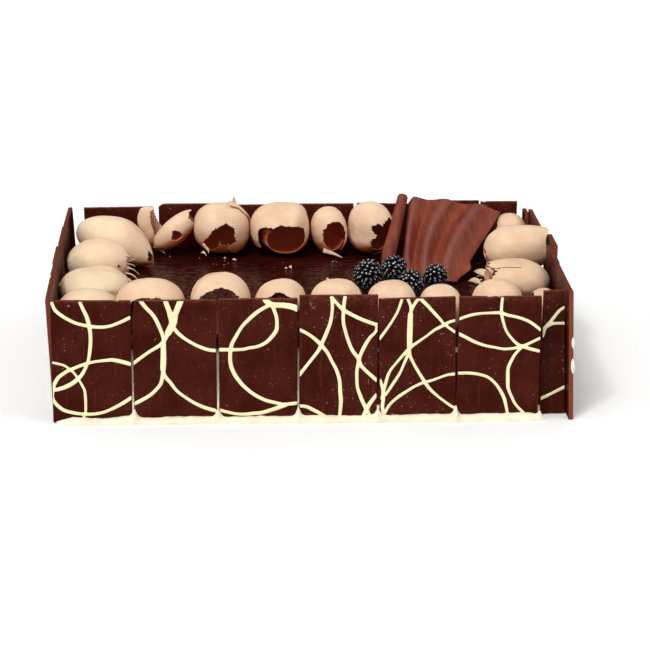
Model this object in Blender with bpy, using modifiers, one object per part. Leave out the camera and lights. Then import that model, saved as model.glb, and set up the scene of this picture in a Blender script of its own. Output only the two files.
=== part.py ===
"""Rectangular chocolate cake, fenced by thin chocolate panels and topped with big rolled curls.

Metres, +Z up. The long side runs along X, the front looks towards -Y, and the origin is the
middle of the underside. Each piece is one object: the cream-coated cake, its glaze, the cream
squeezed out at the foot, the panels of the four sides, the curls, the pleated fan with its
roll, and the berries. The tables below give lengths in millimetres and angles in degrees.
"""

from math import atan2, cos, pi, radians, sin, sqrt

import bmesh
import bpy
from mathutils import Matrix, Vector

MM = 0.001
GAP = 0.3 * MM  # clearance between pieces that touch

# Driving dimensions
OUTER_LENGTH = 330 * MM  # over the feet of the side panels
OUTER_DEPTH = 229 * MM  # over the front and back panels
PANEL_WIDTH = 50 * MM  # of a whole panel; some are broken narrower
PANEL_HEIGHT = 81 * MM
PANEL_THICKNESS = 3 * MM
PANEL_ROUNDING = 0.4 * MM
CAKE_TOP = 47.5 * MM
CAKE_ROUNDING = 1.5 * MM
COAT_SLACK = 1.6 * MM  # room between the coat and side panels that lean or turn a little
GLAZE_THICKNESS = 2.2 * MM
GLAZE_ROUNDING = 0.8 * MM
BEAD_DEPTH = 3.6 * MM
BEAD_HEIGHT = 4.2 * MM
CURL_WALL = 1.4 * MM
CURL_STEP = 2.6 * MM  # how far the rolled sheet closes in over one turn
FAN_THICKNESS = 2.2 * MM
ROLL_RADIUS = 4.5 * MM
BERRY_SIZE = 19 * MM

# Worked out from them
HALF_LENGTH = OUTER_LENGTH / 2
HALF_DEPTH = OUTER_DEPTH / 2
CAKE_HALF_LENGTH = HALF_LENGTH - PANEL_THICKNESS - COAT_SLACK
CAKE_HALF_DEPTH = HALF_DEPTH - PANEL_THICKNESS - GAP
GLAZE_TOP = CAKE_TOP + GAP + GLAZE_THICKNESS
RESTING = GLAZE_TOP + GAP  # lowest height of what lies on the glaze

# The cake's front right corner is pushed in behind the narrow last strip of the front row
CORNER_START = 143 * MM
CORNER_SLANT = 2 * MM
CORNER_DEPTH = 9.6 * MM


def clear_scene():
    for obj in list(bpy.data.objects):
        bpy.data.objects.remove(obj, do_unlink=True)


def material(name, colour, roughness, coat=0.0):
    made = bpy.data.materials.new(name)
    made.use_nodes = True
    shader = made.node_tree.nodes["Principled BSDF"]
    shader.inputs["Base Color"].default_value = (*colour, 1)
    shader.inputs["Roughness"].default_value = roughness
    shader.inputs["Metallic"].default_value = 0
    shader.inputs["Coat Weight"].default_value = coat
    made.diffuse_color = (*colour, 1)
    return made


def add_object(name, data, finish, collection):
    data.materials.append(finish)
    obj = bpy.data.objects.new(name, data)
    collection.objects.link(obj)
    obj.parent = bpy.data.objects["cake_origin"]
    return obj


def open_mesh_of(name, build):
    """A new mesh from what build(bm) makes, its faces turned as they were made."""
    bm = bmesh.new()
    build(bm)
    mesh = bpy.data.meshes.new(name)
    bm.to_mesh(mesh)
    bm.free()
    return mesh


def mesh_of(name, build):
    """A new closed mesh from what build(bm) makes, its faces turned outwards."""

    def build_outward(bm):
        build(bm)
        bmesh.ops.recalc_face_normals(bm, faces=bm.faces)

    return open_mesh_of(name, build_outward)


def shade_smooth(obj):
    obj.data.shade_smooth()
    obj.data.set_sharp_from_angle(angle=radians(50))


def bevel(obj, width):
    rounding = obj.modifiers.new("rounding", "BEVEL")
    rounding.width = width
    rounding.segments = 1
    rounding.limit_method = "ANGLE"
    rounding.angle_limit = radians(40)


def thicken(obj, thickness, offset=-1.0):
    shell = obj.modifiers.new("thickness", "SOLIDIFY")
    shell.thickness = thickness
    shell.offset = offset


def extruded(outline, low, high):
    """Fills the outline, points (x, y), between two heights."""

    def build(bm):
        corners = [bm.verts.new((x, y, low)) for x, y in outline]
        bottom = bm.faces.new(corners)
        raised = bmesh.ops.extrude_face_region(bm, geom=[bottom])["geom"]
        tops = [v for v in raised if isinstance(v, bmesh.types.BMVert)]
        bmesh.ops.translate(bm, verts=tops, vec=(0, 0, high - low))

    return build


# ---- Cake, glaze and cream ----


def cake_outline():
    """Rectangle with its front right corner stepped in behind the narrow strip."""
    x, y = CAKE_HALF_LENGTH, CAKE_HALF_DEPTH
    step_end = CORNER_START + CORNER_SLANT
    stepped = -y + CORNER_DEPTH
    return [(-x, -y), (CORNER_START, -y), (step_end, stepped), (x, stepped), (x, y), (-x, y)]


def make_cake(cream, collection):
    body = mesh_of("cake_body", extruded(cake_outline(), 0, CAKE_TOP))
    bevel(add_object("cake_body", body, cream, collection), CAKE_ROUNDING)


def make_glaze(glaze, collection):
    layer = mesh_of("glaze", extruded(cake_outline(), CAKE_TOP + GAP, GLAZE_TOP))
    bevel(add_object("glaze", layer, glaze, collection), GLAZE_ROUNDING)


# Where each bead starts and ends, and each gap in the panels above it with the height of the peak
# that the cream makes there: (x, rise)
BEAD_STATIONS = 22
BEAD_TAPER = 14 * MM  # length over which an end grows to the full size
PEAK_REACH = 5 * MM
FRONT_BEAD = (-163, 146), [(-113.1, 5), (-61, 5.5), (-10, 5.5), (40.2, 4.5), (89.6, 6)]
BACK_BEAD = (-156, 155), [(-106.5, 5), (-54.6, 4), (-8.2, 5), (38, 4.5), (87.6, 5), (129.6, 4)]
BEAD_STAND_OFF = 0.8 * MM  # from the panels' outer faces, some of which stand proud of the row


def bead_height(x, gaps):
    """Height of the squeezed-out cream, which rises to a peak at each gap between two panels."""
    ripple = 1 + 0.21 * sin(x / 21) + 0.12 * sin(x / 9 + 1)
    peaks = sum(rise * max(0.0, 1 - abs(x - at) * MM / PEAK_REACH) for at, rise in gaps)
    return BEAD_HEIGHT * ripple + peaks * MM


def make_bead(name, cream, collection, outward, ends, gaps):
    """A ridge of cream along the foot of the front (outward -1) or back (outward 1) row."""
    start, end = ends
    side = 0.9 * PEAK_REACH / MM
    stations = {start + (end - start) * i / BEAD_STATIONS for i in range(BEAD_STATIONS + 1)}
    stations |= {at + beside for at, _ in gaps for beside in (-side, 0, side)}
    near = HALF_DEPTH + BEAD_STAND_OFF
    flat = 0.05 * MM  # the underside's height, just off the surface

    def build(bm):
        rings = []
        for x in sorted(stations):
            taper = min(1.0, 0.25 + min(x - start, end - x) * MM / BEAD_TAPER)
            high = bead_height(x, gaps) * taper
            deep = BEAD_DEPTH * taper * (0.85 + 0.15 * sin(x / 17))
            foot = [(0, flat), (deep * 0.75, flat)]
            profile = foot + [(deep, high * 0.3), (deep * 0.45, high * 0.75), (0, high)]
            rings.append([bm.verts.new((x * MM, outward * (near + out), up)) for out, up in profile])
        for first, second in zip(rings, rings[1:]):
            for i in range(len(first)):
                j = (i + 1) % len(first)
                bm.faces.new((first[i], first[j], second[j], second[i]))
        bm.faces.new(rings[0])
        bm.faces.new(rings[-1])

    shade_smooth(add_object(name, mesh_of(name, build), cream, collection))


# ---- Panels ----


# Each row from its left end to its right end, as seen from outside it: the middle of each panel
# along the row, and what sets it apart from a whole, upright one. top is the height of its top
# edge and foot that of its lower edge, out how far it stands proud of the row. lean tips its top
# outwards, tilt slides it along the row, and turn swings it about the upright. broken_left and
# broken_right give what is off a top corner, along the top and down the side.
FRONT_ROW = [
    dict(at=-140.2, tilt=0.5),
    dict(at=-87.7, width=52.4, broken_left=(1.6, 12)),
    dict(at=-35.3, width=49.6, top=81.6),
    dict(at=15.2, width=49.4, top=83.7, foot=2.4, out=0.5),
    dict(at=66.0, width=48.4, top=81.6, tilt=-1.2, out=0.2),
    dict(at=116.9, width=52.3, top=82, foot=0.4),
    dict(at=153.95, width=16.1, top=83, tilt=-2.4, out=-8.5, broken_left=(2.6, 60)),
]
BACK_ROW = [
    dict(at=-143.4, width=26.8, top=82.6),
    dict(at=-108.4, width=41, top=83.2, lean=0.4),
    dict(at=-61.5, width=47.4, top=81.4, tilt=-1.1),
    dict(at=-14.6, width=45, top=81.3, lean=0.5),
    dict(at=31.3, width=45.4),
    dict(at=79.9, top=82, broken_right=(3.3, 2)),
    dict(at=133.3, top=79.4, tilt=0.5, lean=0.6),
]
LEFT_ROW = [
    dict(at=-85.2, width=47.5, lean=3.0, out=0.6),
    dict(at=-36.4, width=47, top=81.5, lean=3.4, turn=0.6, out=0.05, broken_left=(4, 2.5)),
    dict(at=11.5, width=42, top=82, lean=3.2, turn=0.8, out=0.45, broken_left=(4, 3)),
    dict(at=44.9, width=19, lean=3.0),
    dict(at=84.4, width=52, lean=2.0, turn=1.2, out=0.6, broken_left=(5, 4)),
]
RIGHT_ROW = [
    dict(at=-91.9, top=86, lean=-2.3, out=0.6),
    dict(at=-53.5, width=21, top=81.5, lean=-0.2),
    dict(at=-18.2, width=42, top=81.5, lean=0.2, out=0.2, broken_left=(2.5, 2)),
    dict(at=22, width=41, top=81.2, lean=0.6, out=4.4, broken_right=(12, 6)),
    dict(at=70.5, width=47, top=82, out=0.4),
    dict(at=103.6, width=14, top=78, out=-1.6),
]
ROWS = {
    "front": (0.0, HALF_DEPTH, FRONT_ROW),
    "right": (pi / 2, HALF_LENGTH, RIGHT_ROW),
    "back": (pi, HALF_DEPTH, BACK_ROW),
    "left": (-pi / 2, HALF_LENGTH, LEFT_ROW),
}


def panel_outline(width, height, broken_left, broken_right):
    """Corners (x, z) of a sheet that stands on z = 0, in order around it."""
    half = width / 2
    outline = [(-half, 0), (half, 0)]
    for side, (inward, down) in ((1, broken_right), (-1, broken_left)):
        corners = [(side * half, height - down), (side * (half - inward), height)]
        if not inward:
            corners = corners[:1]
        outline += corners[::side]
    return outline


def add_panel(name, finish, collection, facing, face, sizes):
    """One panel of the row whose outer faces look along facing, at the distance face."""
    lean, tilt, turn = (radians(sizes.get(key, 0)) for key in ("lean", "tilt", "turn"))
    width = sizes.get("width", PANEL_WIDTH / MM) * MM
    top = sizes.get("top", PANEL_HEIGHT / MM) * MM
    lift = sizes.get("foot", 0) * MM + width / 2 * abs(sin(tilt)) - PANEL_THICKNESS * min(0.0, sin(lean))
    broken = [[value * MM for value in sizes.get(key, (0, 0))] for key in ("broken_left", "broken_right")]
    outline = panel_outline(width, top - lift, *broken)
    sheet = open_mesh_of(name, lambda bm: bm.faces.new([bm.verts.new((x, 0, z)) for x, z in outline]))
    panel = add_object(name, sheet, finish, collection)
    out = face + sizes.get("out", 0) * MM
    panel.location = Matrix.Rotation(facing, 3, "Z") @ Vector((sizes["at"] * MM, -out, lift))
    panel.rotation_euler = (lean, tilt, facing + turn)
    thicken(panel, PANEL_THICKNESS)
    bevel(panel, PANEL_ROUNDING)


def make_panels(chocolate, collection):
    for side, (facing, face, row) in ROWS.items():
        for i, sizes in enumerate(row, 1):
            add_panel(f"panel_{side}_{i}", chocolate, collection, facing, face, sizes)


# ---- Curls ----

# Each curl's middle (x, y), its (length, width, height), and the way its mouth points: heading
# turns from +X towards +Y, and rise lifts it. mouth says how much the mouth narrows, seam how far
# around the roll starts, and up the height of its middle where that isn't half its own height.
CURLS = {
    "curl_back_1": ((-113.4, 102.5), (16, 15, 32), dict(heading=-6, rise=16, mouth=0.4, up=17.2)),
    "curl_back_2": ((-93.6, 91), (34, 18.5, 18), dict(heading=6, rise=40, mouth=0.8, up=15.8, seam=-30)),
    "curl_back_3": ((-59.6, 92.5), (34, 40.6, 37.5), dict(heading=-92, rise=-7, mouth=0.8, up=19, seam=-20)),
    "curl_back_4": ((-16.7, 92.5), (34, 42, 37.5), dict(heading=-88, rise=-4, mouth=0.6, up=19, seam=-170)),
    "curl_back_5": ((17.6, 93), (32, 26, 33.5), dict(heading=-76, mouth=0.55)),
    "curl_back_6": ((47, 93.5), (33, 31, 37), dict(heading=-62, rise=-3, mouth=0.66, up=18.9)),
    "curl_left_1": ((-134.5, 70), (60, 37, 32.5), dict(heading=-27, rise=-9, mouth=0.94, up=16.6)),
    "curl_left_2": ((-144, 21), (41, 43, 30.5), dict(heading=6, mouth=0.5, up=15.4)),
    "curl_left_3": ((-143, -32.5), (44, 44, 26.6), dict(heading=-3, mouth=0.6)),
    "curl_left_4": ((-144.6, -83), (36, 38, 28), dict(heading=4, mouth=0.6)),
    "curl_front_1": ((-103.8, -91), (36, 44, 38), dict(heading=-90, mouth=0.72)),
    "curl_front_2": ((-59.4, -91), (36, 38.5, 41), dict(heading=-90, mouth=0.6)),
    "curl_front_3": ((-21, -91.5), (35, 34, 37), dict(heading=-92, mouth=0.72)),
    "curl_front_4": ((14.3, -91.5), (35, 34, 37), dict(heading=-88, mouth=0.85)),
    "curl_front_5": ((49.2, -91.5), (34, 32.5, 36), dict(heading=-90, mouth=0.85)),
    "curl_front_6": ((80.8, -91.5), (34, 28.5, 32.5), dict(heading=-90, mouth=0.85)),
    "curl_front_7": ((117.5, -89), (36, 34, 35), dict(heading=-92, mouth=0.85)),
    "curl_right_1": ((143, 36), (39.5, 40, 32.5), dict(heading=10, rise=4, mouth=0.5, up=18.4)),
    "curl_right_2": ((141.4, -20), (40, 40, 28), dict(heading=188, rise=6, mouth=0.45, up=15.2)),
    "curl_right_3": ((151.2, -76), (17, 24, 24.5), dict(heading=180, mouth=0.6)),
    "curl_right_4": ((149.6, 89.5), (23, 27, 28.5), dict(heading=180, rise=6, mouth=0.75, up=15)),
}
CURL_STATIONS = (-1.0, -0.62, 0.0, 0.55, 1.0)  # from the shut end to the mouth
SHUT_END = 0.93  # how much the shut end narrows, where 1 would close it
SEGMENTS_PER_TURN = 10
SEGMENTS = 11  # the last one overlaps the first
RAGGED = 0.035  # how far the mouth's edge goes in and out, as a share of half the length


def curl_taper(s, mouth):
    """Share of the full radius at s, from -1 at the shut end to 1 at the mouth, both drawn in
    like the ends of an egg."""
    closing = SHUT_END if s < 0 else mouth
    return sqrt(1 - (closing * s) ** 2)


def curl_mesh(name, length, width, height, mouth, seam):
    """A sheet rolled once around +X into a hollow barrel, its mouth towards +X."""

    def build(bm):
        grid = []
        for s in CURL_STATIONS:
            taper = curl_taper(s, mouth)
            ring = []
            for k in range(SEGMENTS + 1):
                angle = seam + 2 * pi * k / SEGMENTS_PER_TURN
                inward = CURL_STEP * k / SEGMENTS_PER_TURN
                across = (width / 2 * taper - inward) * cos(angle)
                up = (height / 2 * taper - inward) * sin(angle)
                ragged = RAGGED * (-1) ** k if s == 1 else 0
                ring.append(bm.verts.new((length / 2 * (s + ragged), across, up)))
            grid.append(ring)
        for first, second in zip(grid, grid[1:]):
            for k in range(SEGMENTS):
                bm.faces.new((first[k], first[k + 1], second[k + 1], second[k]))

    return open_mesh_of(name, build)


def make_curls(chocolate, collection):
    for name, ((x, y), size, more) in CURLS.items():
        length, width, height = (value * MM for value in size)
        mesh = curl_mesh(name, length, width, height, more["mouth"], radians(more.get("seam", -90)))
        curl = add_object(name, mesh, chocolate, collection)
        up = more.get("up", size[2] / 2) * MM
        curl.location = (x * MM, y * MM, RESTING + up)
        curl.rotation_euler = (0, -radians(more.get("rise", 0)), radians(more["heading"]))
        thicken(curl, CURL_WALL)
        shade_smooth(curl)


# ---- Fan and its roll ----

# The fan's foot and top edge, from the roll to the right, as points (x, y)
FAN_FOOT = [(66.5, 38), (75, 31), (85, 23), (94, 17.5), (103, 14)]
FAN_TOP = [(76.5, 107), (92, 107), (110, 102.5), (128, 99), (142, 91)]
FAN_PLEATS = 3.5
PLEAT_AT_FOOT = 0.4 * MM
PLEAT_AT_TOP = 1.2 * MM
PLEAT_SWELL = 2.2 * MM  # how much deeper the pleats are halfway up
FAN_LOW = RESTING + 1.9 * MM  # height of the sheet's middle at the foot
FAN_HIGH = 87 * MM  # and at the top, by the roll
FAN_DROP = 6 * MM  # how much lower the right end of the top edge is
FAN_SLOPE = atan2(FAN_HIGH - RESTING, 85 * MM)
FAN_COLUMNS = 18
FAN_ROWS = 5

# The roll's middle line, from its foot to its top, as (x, y, z, share of the full radius)
ROLL = [
    (55.5, 31, 55.2, 0.6),
    (58.5, 45, 61.2, 0.95),
    (63.5, 68, 70.4, 1.0),
    (68.5, 90, 79.2, 0.95),
    (72.0, 106.5, 85.6, 0.8),
]
WELD = 0.05 * MM  # closes the roll's loose caps


def along_points(points, share):
    """The point at a share of the way along a smooth line through points (Catmull-Rom)."""
    place = share * (len(points) - 1)
    i = min(int(place), len(points) - 2)
    t = place - i
    ends = [points[max(i - 1, 0)], points[i], points[i + 1], points[min(i + 2, len(points) - 1)]]
    weights = (
        (-t + 2 * t * t - t**3) / 2,
        (2 - 5 * t * t + 3 * t**3) / 2,
        (t + 4 * t * t - 3 * t**3) / 2,
        (t**3 - t * t) / 2,
    )
    return Vector([sum(w * p[axis] for w, p in zip(weights, ends)) for axis in range(2)])


def fan_point(across, upward):
    """Point of the sheet's middle, across from the roll to the right edge, upward from the foot."""
    plan = along_points(FAN_FOOT, across).lerp(along_points(FAN_TOP, across), upward) * MM
    pleat = PLEAT_AT_FOOT + (PLEAT_AT_TOP - PLEAT_AT_FOOT) * upward + PLEAT_SWELL * sin(pi * upward)
    depth = pleat * sin(2 * pi * FAN_PLEATS * across)
    top = FAN_HIGH - FAN_DROP * across**2
    height = FAN_LOW + (top - FAN_LOW) * upward
    return Vector((plan.x, plan.y - depth * sin(FAN_SLOPE), height + depth * cos(FAN_SLOPE)))


def make_fan(chocolate, collection):
    def build(bm):
        grid = []
        for j in range(FAN_ROWS + 1):
            points = [fan_point(i / FAN_COLUMNS, j / FAN_ROWS) for i in range(FAN_COLUMNS + 1)]
            grid.append([bm.verts.new(point) for point in points])
        for first, second in zip(grid, grid[1:]):
            for i in range(FAN_COLUMNS):
                bm.faces.new((first[i], first[i + 1], second[i + 1], second[i]))

    fan = add_object("fan_sheet", mesh_of("fan_sheet", build), chocolate, collection)
    thicken(fan, FAN_THICKNESS, offset=0.0)
    shade_smooth(fan)


def make_roll(chocolate, collection):
    path = bpy.data.curves.new("fan_roll", "CURVE")
    path.dimensions = "3D"
    path.bevel_depth = ROLL_RADIUS
    path.bevel_resolution = 2
    path.use_fill_caps = True
    line = path.splines.new("POLY")
    line.points.add(len(ROLL) - 1)
    for point, (x, y, z, share) in zip(line.points, ROLL):
        point.co = (x * MM, y * MM, z * MM, 1)
        point.radius = share
    roll = add_object("fan_roll", path, chocolate, collection)
    roll.modifiers.new("weld", "WELD").merge_threshold = WELD


# ---- Berries ----

# Each berry's middle (x, y), its width as a share of BERRY_SIZE, its length as a share of its
# width, and the way its tip points, as heading and rise
BERRIES = {
    "berry_1": ((40.8, 0), 1.05, 1.2, -70, 62),
    "berry_2": ((62.4, 23.5), 0.92, 1.08, 20, 35),
    "berry_3": ((69.6, -9.4), 0.92, 1.14, -50, 15),
    "berry_4": ((87.4, 4.5), 0.86, 1.12, -80, 60),
}
DRUPELET_RINGS = 4
DRUPELETS_AROUND = 6
DRUPELET_SWELL = 0.045
TIP_NARROWING = 0.12


def berry_mesh(name, width, length):
    """A rounded cone with a bump for each drupelet, its tip along +X."""

    def build(bm):
        bmesh.ops.create_icosphere(bm, subdivisions=2, radius=width / 2)
        bmesh.ops.scale(bm, vec=(length / width, 1, 1), verts=bm.verts)
        for vertex in bm.verts:
            around = DRUPELETS_AROUND * atan2(vertex.co.z, vertex.co.y)
            ring = (vertex.co.x / length + 0.5) * DRUPELET_RINGS
            bump = cos(around + pi * round(ring)) * cos(2 * pi * ring)
            narrowing = TIP_NARROWING * max(0.0, vertex.co.x / (length / 2)) ** 2
            share = (1 + DRUPELET_SWELL * bump) * (1 - narrowing)
            vertex.co.y *= share
            vertex.co.z *= share

    return mesh_of(name, build)


def make_berries(fruit, collection):
    for name, ((x, y), share, stretch, heading, rise) in BERRIES.items():
        width = BERRY_SIZE * share
        berry = add_object(name, berry_mesh(name, width, width * stretch), fruit, collection)
        turned = Matrix.Rotation(radians(heading), 3, "Z") @ Matrix.Rotation(-radians(rise), 3, "Y")
        lowest = min((turned @ v.co).z for v in berry.data.vertices)
        berry.location = (x * MM, y * MM, RESTING - lowest)
        berry.rotation_euler = turned.to_euler()
        shade_smooth(berry)


def main():
    clear_scene()
    collection = bpy.data.collections.new("chocolate_cake")
    bpy.context.scene.collection.children.link(collection)
    origin = bpy.data.objects.new("cake_origin", None)
    collection.objects.link(origin)

    dark = material("dark_chocolate", (0.044, 0.010, 0.006), 0.32, coat=0.3)
    cream = material("cream", (0.87, 0.80, 0.62), 0.55)
    glaze = material("glaze", (0.030, 0.006, 0.005), 0.18, coat=0.6)
    caramel = material("caramel_chocolate", (0.78, 0.55, 0.36), 0.45)
    milk = material("milk_chocolate", (0.14, 0.042, 0.026), 0.38)
    fruit = material("dark_fruit", (0.012, 0.010, 0.016), 0.25, coat=0.5)

    make_cake(cream, collection)
    make_glaze(glaze, collection)
    make_bead("cream_bead_front", cream, collection, -1, *FRONT_BEAD)
    make_bead("cream_bead_back", cream, collection, 1, *BACK_BEAD)
    make_panels(dark, collection)
    make_curls(caramel, collection)
    make_fan(milk, collection)
    make_roll(milk, collection)
    make_berries(fruit, collection)


main()
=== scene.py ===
"""Looks of the rectangular chocolate cake: the finish of every surface, and finer meshes for its pieces.

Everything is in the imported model's frame: metres, +Z up, the long side along X, the front towards -Y.
Tables give lengths in millimetres and angles in degrees.
"""

from math import atan2, ceil, cos, pi, radians, sin

import bmesh
import bpy
import numpy as np
from mathutils import Matrix, Vector
from mathutils.geometry import convex_hull_2d


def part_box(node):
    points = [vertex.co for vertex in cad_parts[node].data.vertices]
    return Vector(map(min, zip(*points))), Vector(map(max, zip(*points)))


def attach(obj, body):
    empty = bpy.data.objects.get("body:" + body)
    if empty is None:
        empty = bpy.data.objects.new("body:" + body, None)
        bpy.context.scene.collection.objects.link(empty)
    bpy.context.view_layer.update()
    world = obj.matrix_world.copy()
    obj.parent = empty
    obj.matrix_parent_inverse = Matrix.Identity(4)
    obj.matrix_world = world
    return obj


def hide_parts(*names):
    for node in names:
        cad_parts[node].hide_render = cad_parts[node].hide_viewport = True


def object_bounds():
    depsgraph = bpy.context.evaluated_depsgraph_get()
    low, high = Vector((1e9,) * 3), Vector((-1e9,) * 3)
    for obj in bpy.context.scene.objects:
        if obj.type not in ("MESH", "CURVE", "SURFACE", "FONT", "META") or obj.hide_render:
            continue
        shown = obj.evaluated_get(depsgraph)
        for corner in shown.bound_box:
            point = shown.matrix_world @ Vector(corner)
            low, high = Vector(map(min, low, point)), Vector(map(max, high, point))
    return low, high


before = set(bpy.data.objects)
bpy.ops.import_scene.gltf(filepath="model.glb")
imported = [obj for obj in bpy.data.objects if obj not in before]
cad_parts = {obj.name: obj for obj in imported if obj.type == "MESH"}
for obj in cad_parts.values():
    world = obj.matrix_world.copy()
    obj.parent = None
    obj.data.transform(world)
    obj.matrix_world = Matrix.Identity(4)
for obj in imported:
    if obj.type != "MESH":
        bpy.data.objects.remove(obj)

CAD_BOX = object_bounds()
MM = 0.001
UP = Vector((0, 0, 1))


# ---- Helpers for shapes ----


def smooth_step(value, low=0.0, high=1.0):
    share = np.clip((value - low) / (high - low), 0, 1)
    return share * share * (3 - 2 * share)


def near_value(values, centre, half):
    """1 at centre, falling smoothly to 0 at half to either side."""
    return smooth_step(1 - np.abs(values - centre) / half)


def near_angle(degrees, centre, half):
    """1 at the angle centre, falling smoothly to 0 at half degrees to either side."""
    return near_value((degrees - centre + 180) % 360, 180, half)


def wobble(points, size, seed, waves=8):
    """A smooth random field over points (..., n), about -1 to 1, whose bumps are about size wide."""
    rng = np.random.default_rng(seed)
    total = 0
    for _ in range(waves):
        direction = rng.normal(size=points.shape[-1])
        direction *= rng.uniform(0.7, 1.5) * pi / size / np.linalg.norm(direction)
        total = total + np.sin(points @ direction + rng.uniform(0, 2 * pi))
    return total / waves**0.5 / 1.4


def spline(a, b, c, d, t):
    """The cubic curve from b to c, whose slopes there follow from a before them and d after."""
    return b + (c - a) * t / 2 + (2 * a - 5 * b + 4 * c - d) * t**2 / 2 + (3 * b - a - 3 * c + d) * t**3 / 2


def turned(points, heading, rise=0):
    """Points turned so that their own +X points along heading and up by rise, in degrees."""
    turn = Matrix.Rotation(radians(heading), 3, "Z") @ Matrix.Rotation(-radians(rise), 3, "Y")
    return points @ np.array(turn).T


def ball(radius, subdivisions):
    bm = bmesh.new()
    bmesh.ops.create_icosphere(bm, subdivisions=subdivisions, radius=radius)
    points = np.array([vertex.co for vertex in bm.verts])
    faces = np.array([[vertex.index for vertex in face.verts] for face in bm.faces])
    bm.free()
    return points, faces


def shell_part(points, thickness, keep=None, clockwise=False, depth=0.0, covered=False):
    """A closed shell under a grid of points (rows, columns, 3): its outer side is the grid, its inner
    side lies thickness below it, and rims close every edge, also those of cells left out by keep.
    depth is 0 at a curl's mouth and 1 far inside, and covered marks the part of its outer side that another
    turn covers; by these the curls' finish paints shade inside the roll. It gives (points, faces, inside,
    depth, under), under being how far the outer side faces down, by which the curls' finish paints shade
    underneath."""
    rows, columns = points.shape[:2]
    normals = np.cross(np.gradient(points, axis=1), np.gradient(points, axis=0))
    normals *= (-1 if clockwise else 1) / np.maximum(np.linalg.norm(normals, axis=2, keepdims=True), 1e-12)
    inner = points - normals * np.broadcast_to(thickness, (rows, columns))[..., None]
    index = np.arange(rows * columns).reshape(rows, columns)
    corners = (index[:-1, :-1], index[:-1, 1:], index[1:, 1:], index[1:, :-1])
    keep = np.ones((rows - 1, columns - 1), bool) if keep is None else keep
    around = np.pad(keep, 1)
    below = rows * columns
    outer_faces = np.stack([corner[keep] for corner in corners], -1)
    faces = [outer_faces, outer_faces[:, ::-1] + below]
    beside = (around[:-2, 1:-1], around[1:-1, 2:], around[2:, 1:-1], around[1:-1, :-2])
    for side in range(4):
        rim = keep & ~beside[side]
        first, second = corners[side][rim], corners[(side + 1) % 4][rim]
        faces.append(np.stack([second, first, first + below, second + below], -1))
    faces = np.concatenate(faces)
    if clockwise:
        faces = faces[:, ::-1]
    covered = np.broadcast_to(covered, (rows, columns)).ravel()
    inside = np.concatenate([covered, np.ones(below, bool)])
    deep = np.tile(np.broadcast_to(depth, (rows, columns)).ravel(), 2)
    under = np.tile(-normals[..., 2].ravel(), 2)
    return np.concatenate([points, inner]).reshape(-1, 3), faces, inside, deep, under


def joined_mesh(name, parts, keys=("inside", "depth", "under")):
    """One mesh of closed parts: each has its points in metres, its faces and each key's values there."""
    points, faces, *values = zip(*parts)
    counts = np.cumsum([0] + [len(part) for part in points])
    faces = np.concatenate([part + count for part, count in zip(faces, counts)])
    used, corners = np.unique(faces, return_inverse=True)
    mesh = bpy.data.meshes.new(name)
    mesh.vertices.add(len(used))
    mesh.vertices.foreach_set("co", np.concatenate(points)[used].astype(np.float32).ravel())
    mesh.loops.add(faces.size)
    mesh.loops.foreach_set("vertex_index", corners.astype(np.int32).ravel())
    mesh.polygons.add(len(faces))
    mesh.polygons.foreach_set("loop_start", np.arange(0, faces.size, faces.shape[1], dtype=np.int32))
    mesh.update(calc_edges=True)
    for key, value in zip(keys, values):
        attribute = mesh.attributes.new(key, "FLOAT", "POINT")
        attribute.data.foreach_set("value", np.concatenate(value)[used].astype(np.float32))
    return mesh


def bar_mesh(name, rings, flipped=False):
    """A closed bar through rings of points (rings, points, 3), with its faces turned round if flipped."""
    count, size = rings.shape[:2]
    index = np.arange(count * size).reshape(count, size)
    beside = np.roll(index, -1, 1)
    quads = np.stack([index[:-1], beside[:-1], beside[1:], index[1:]], -1).reshape(-1, 4)
    faces = [*quads.tolist(), index[0, ::-1].tolist(), index[-1].tolist()]
    if flipped:
        faces = [face[::-1] for face in faces]
    mesh = bpy.data.meshes.new(name)
    mesh.from_pydata(rings.reshape(-1, 3).tolist(), [], faces)
    return mesh


SPLINTER_UNDER_SHADE = 0.3  # how much of a curl's painted shade underneath a splinter has


def splinter(start, end, sag, width, thickness=0.7, tips=1):
    """A thin strip in mm that bends by sag on its way and narrows to a tip, its flat side to the front.
    tips says whether one end is pointed or both."""
    start, end = np.array(start, float), np.array(end, float)
    t = np.linspace(0, 1, 10)[:, None]
    line = start + (end - start) * t + np.array(sag, float) * 4 * t * (1 - t)
    across = np.cross(end - start, (0, -0.9, 0.43))
    across /= np.linalg.norm(across)
    half = width / 2 * ((1 - 0.85 * t**1.6) if tips == 1 else 0.12 + 0.88 * np.sin(pi * t) ** 0.7)
    side = np.linspace(-1, 1, 4)[None, :, None]
    points = line[:, None] + across * side * half[:, None]
    points[..., 1] += 0.25 * width * side[..., 0] ** 2
    wall = thickness * (1 - 0.6 * t) * (1 - 0.5 * side[..., 0] ** 2)
    facing = np.cross(points[0, 1] - points[0, 0], points[1, 0] - points[0, 0])
    *shape, under = shell_part(points * MM, wall * MM, clockwise=bool(facing[1] > 0))
    return *shape, under * SPLINTER_UNDER_SHADE


def add_piece(name, mesh, finish, slot, *nodes, smooth=50):
    """A new piece that rides on the cake's one body; smooth is the angle up to which edges look round."""
    mesh.materials.append(finish)
    if smooth:
        mesh.shade_smooth()
        mesh.set_sharp_from_angle(angle=radians(smooth))
    piece = bpy.data.objects.new(name, mesh)
    bpy.context.scene.collection.objects.link(piece)
    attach(piece, "root")
    if nodes:
        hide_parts(*nodes)


# ---- Helpers for finishes ----

NOISE_LOW, NOISE_HIGH = 0.3, 0.7  # nearly all of a noise's values lie between them


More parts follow.
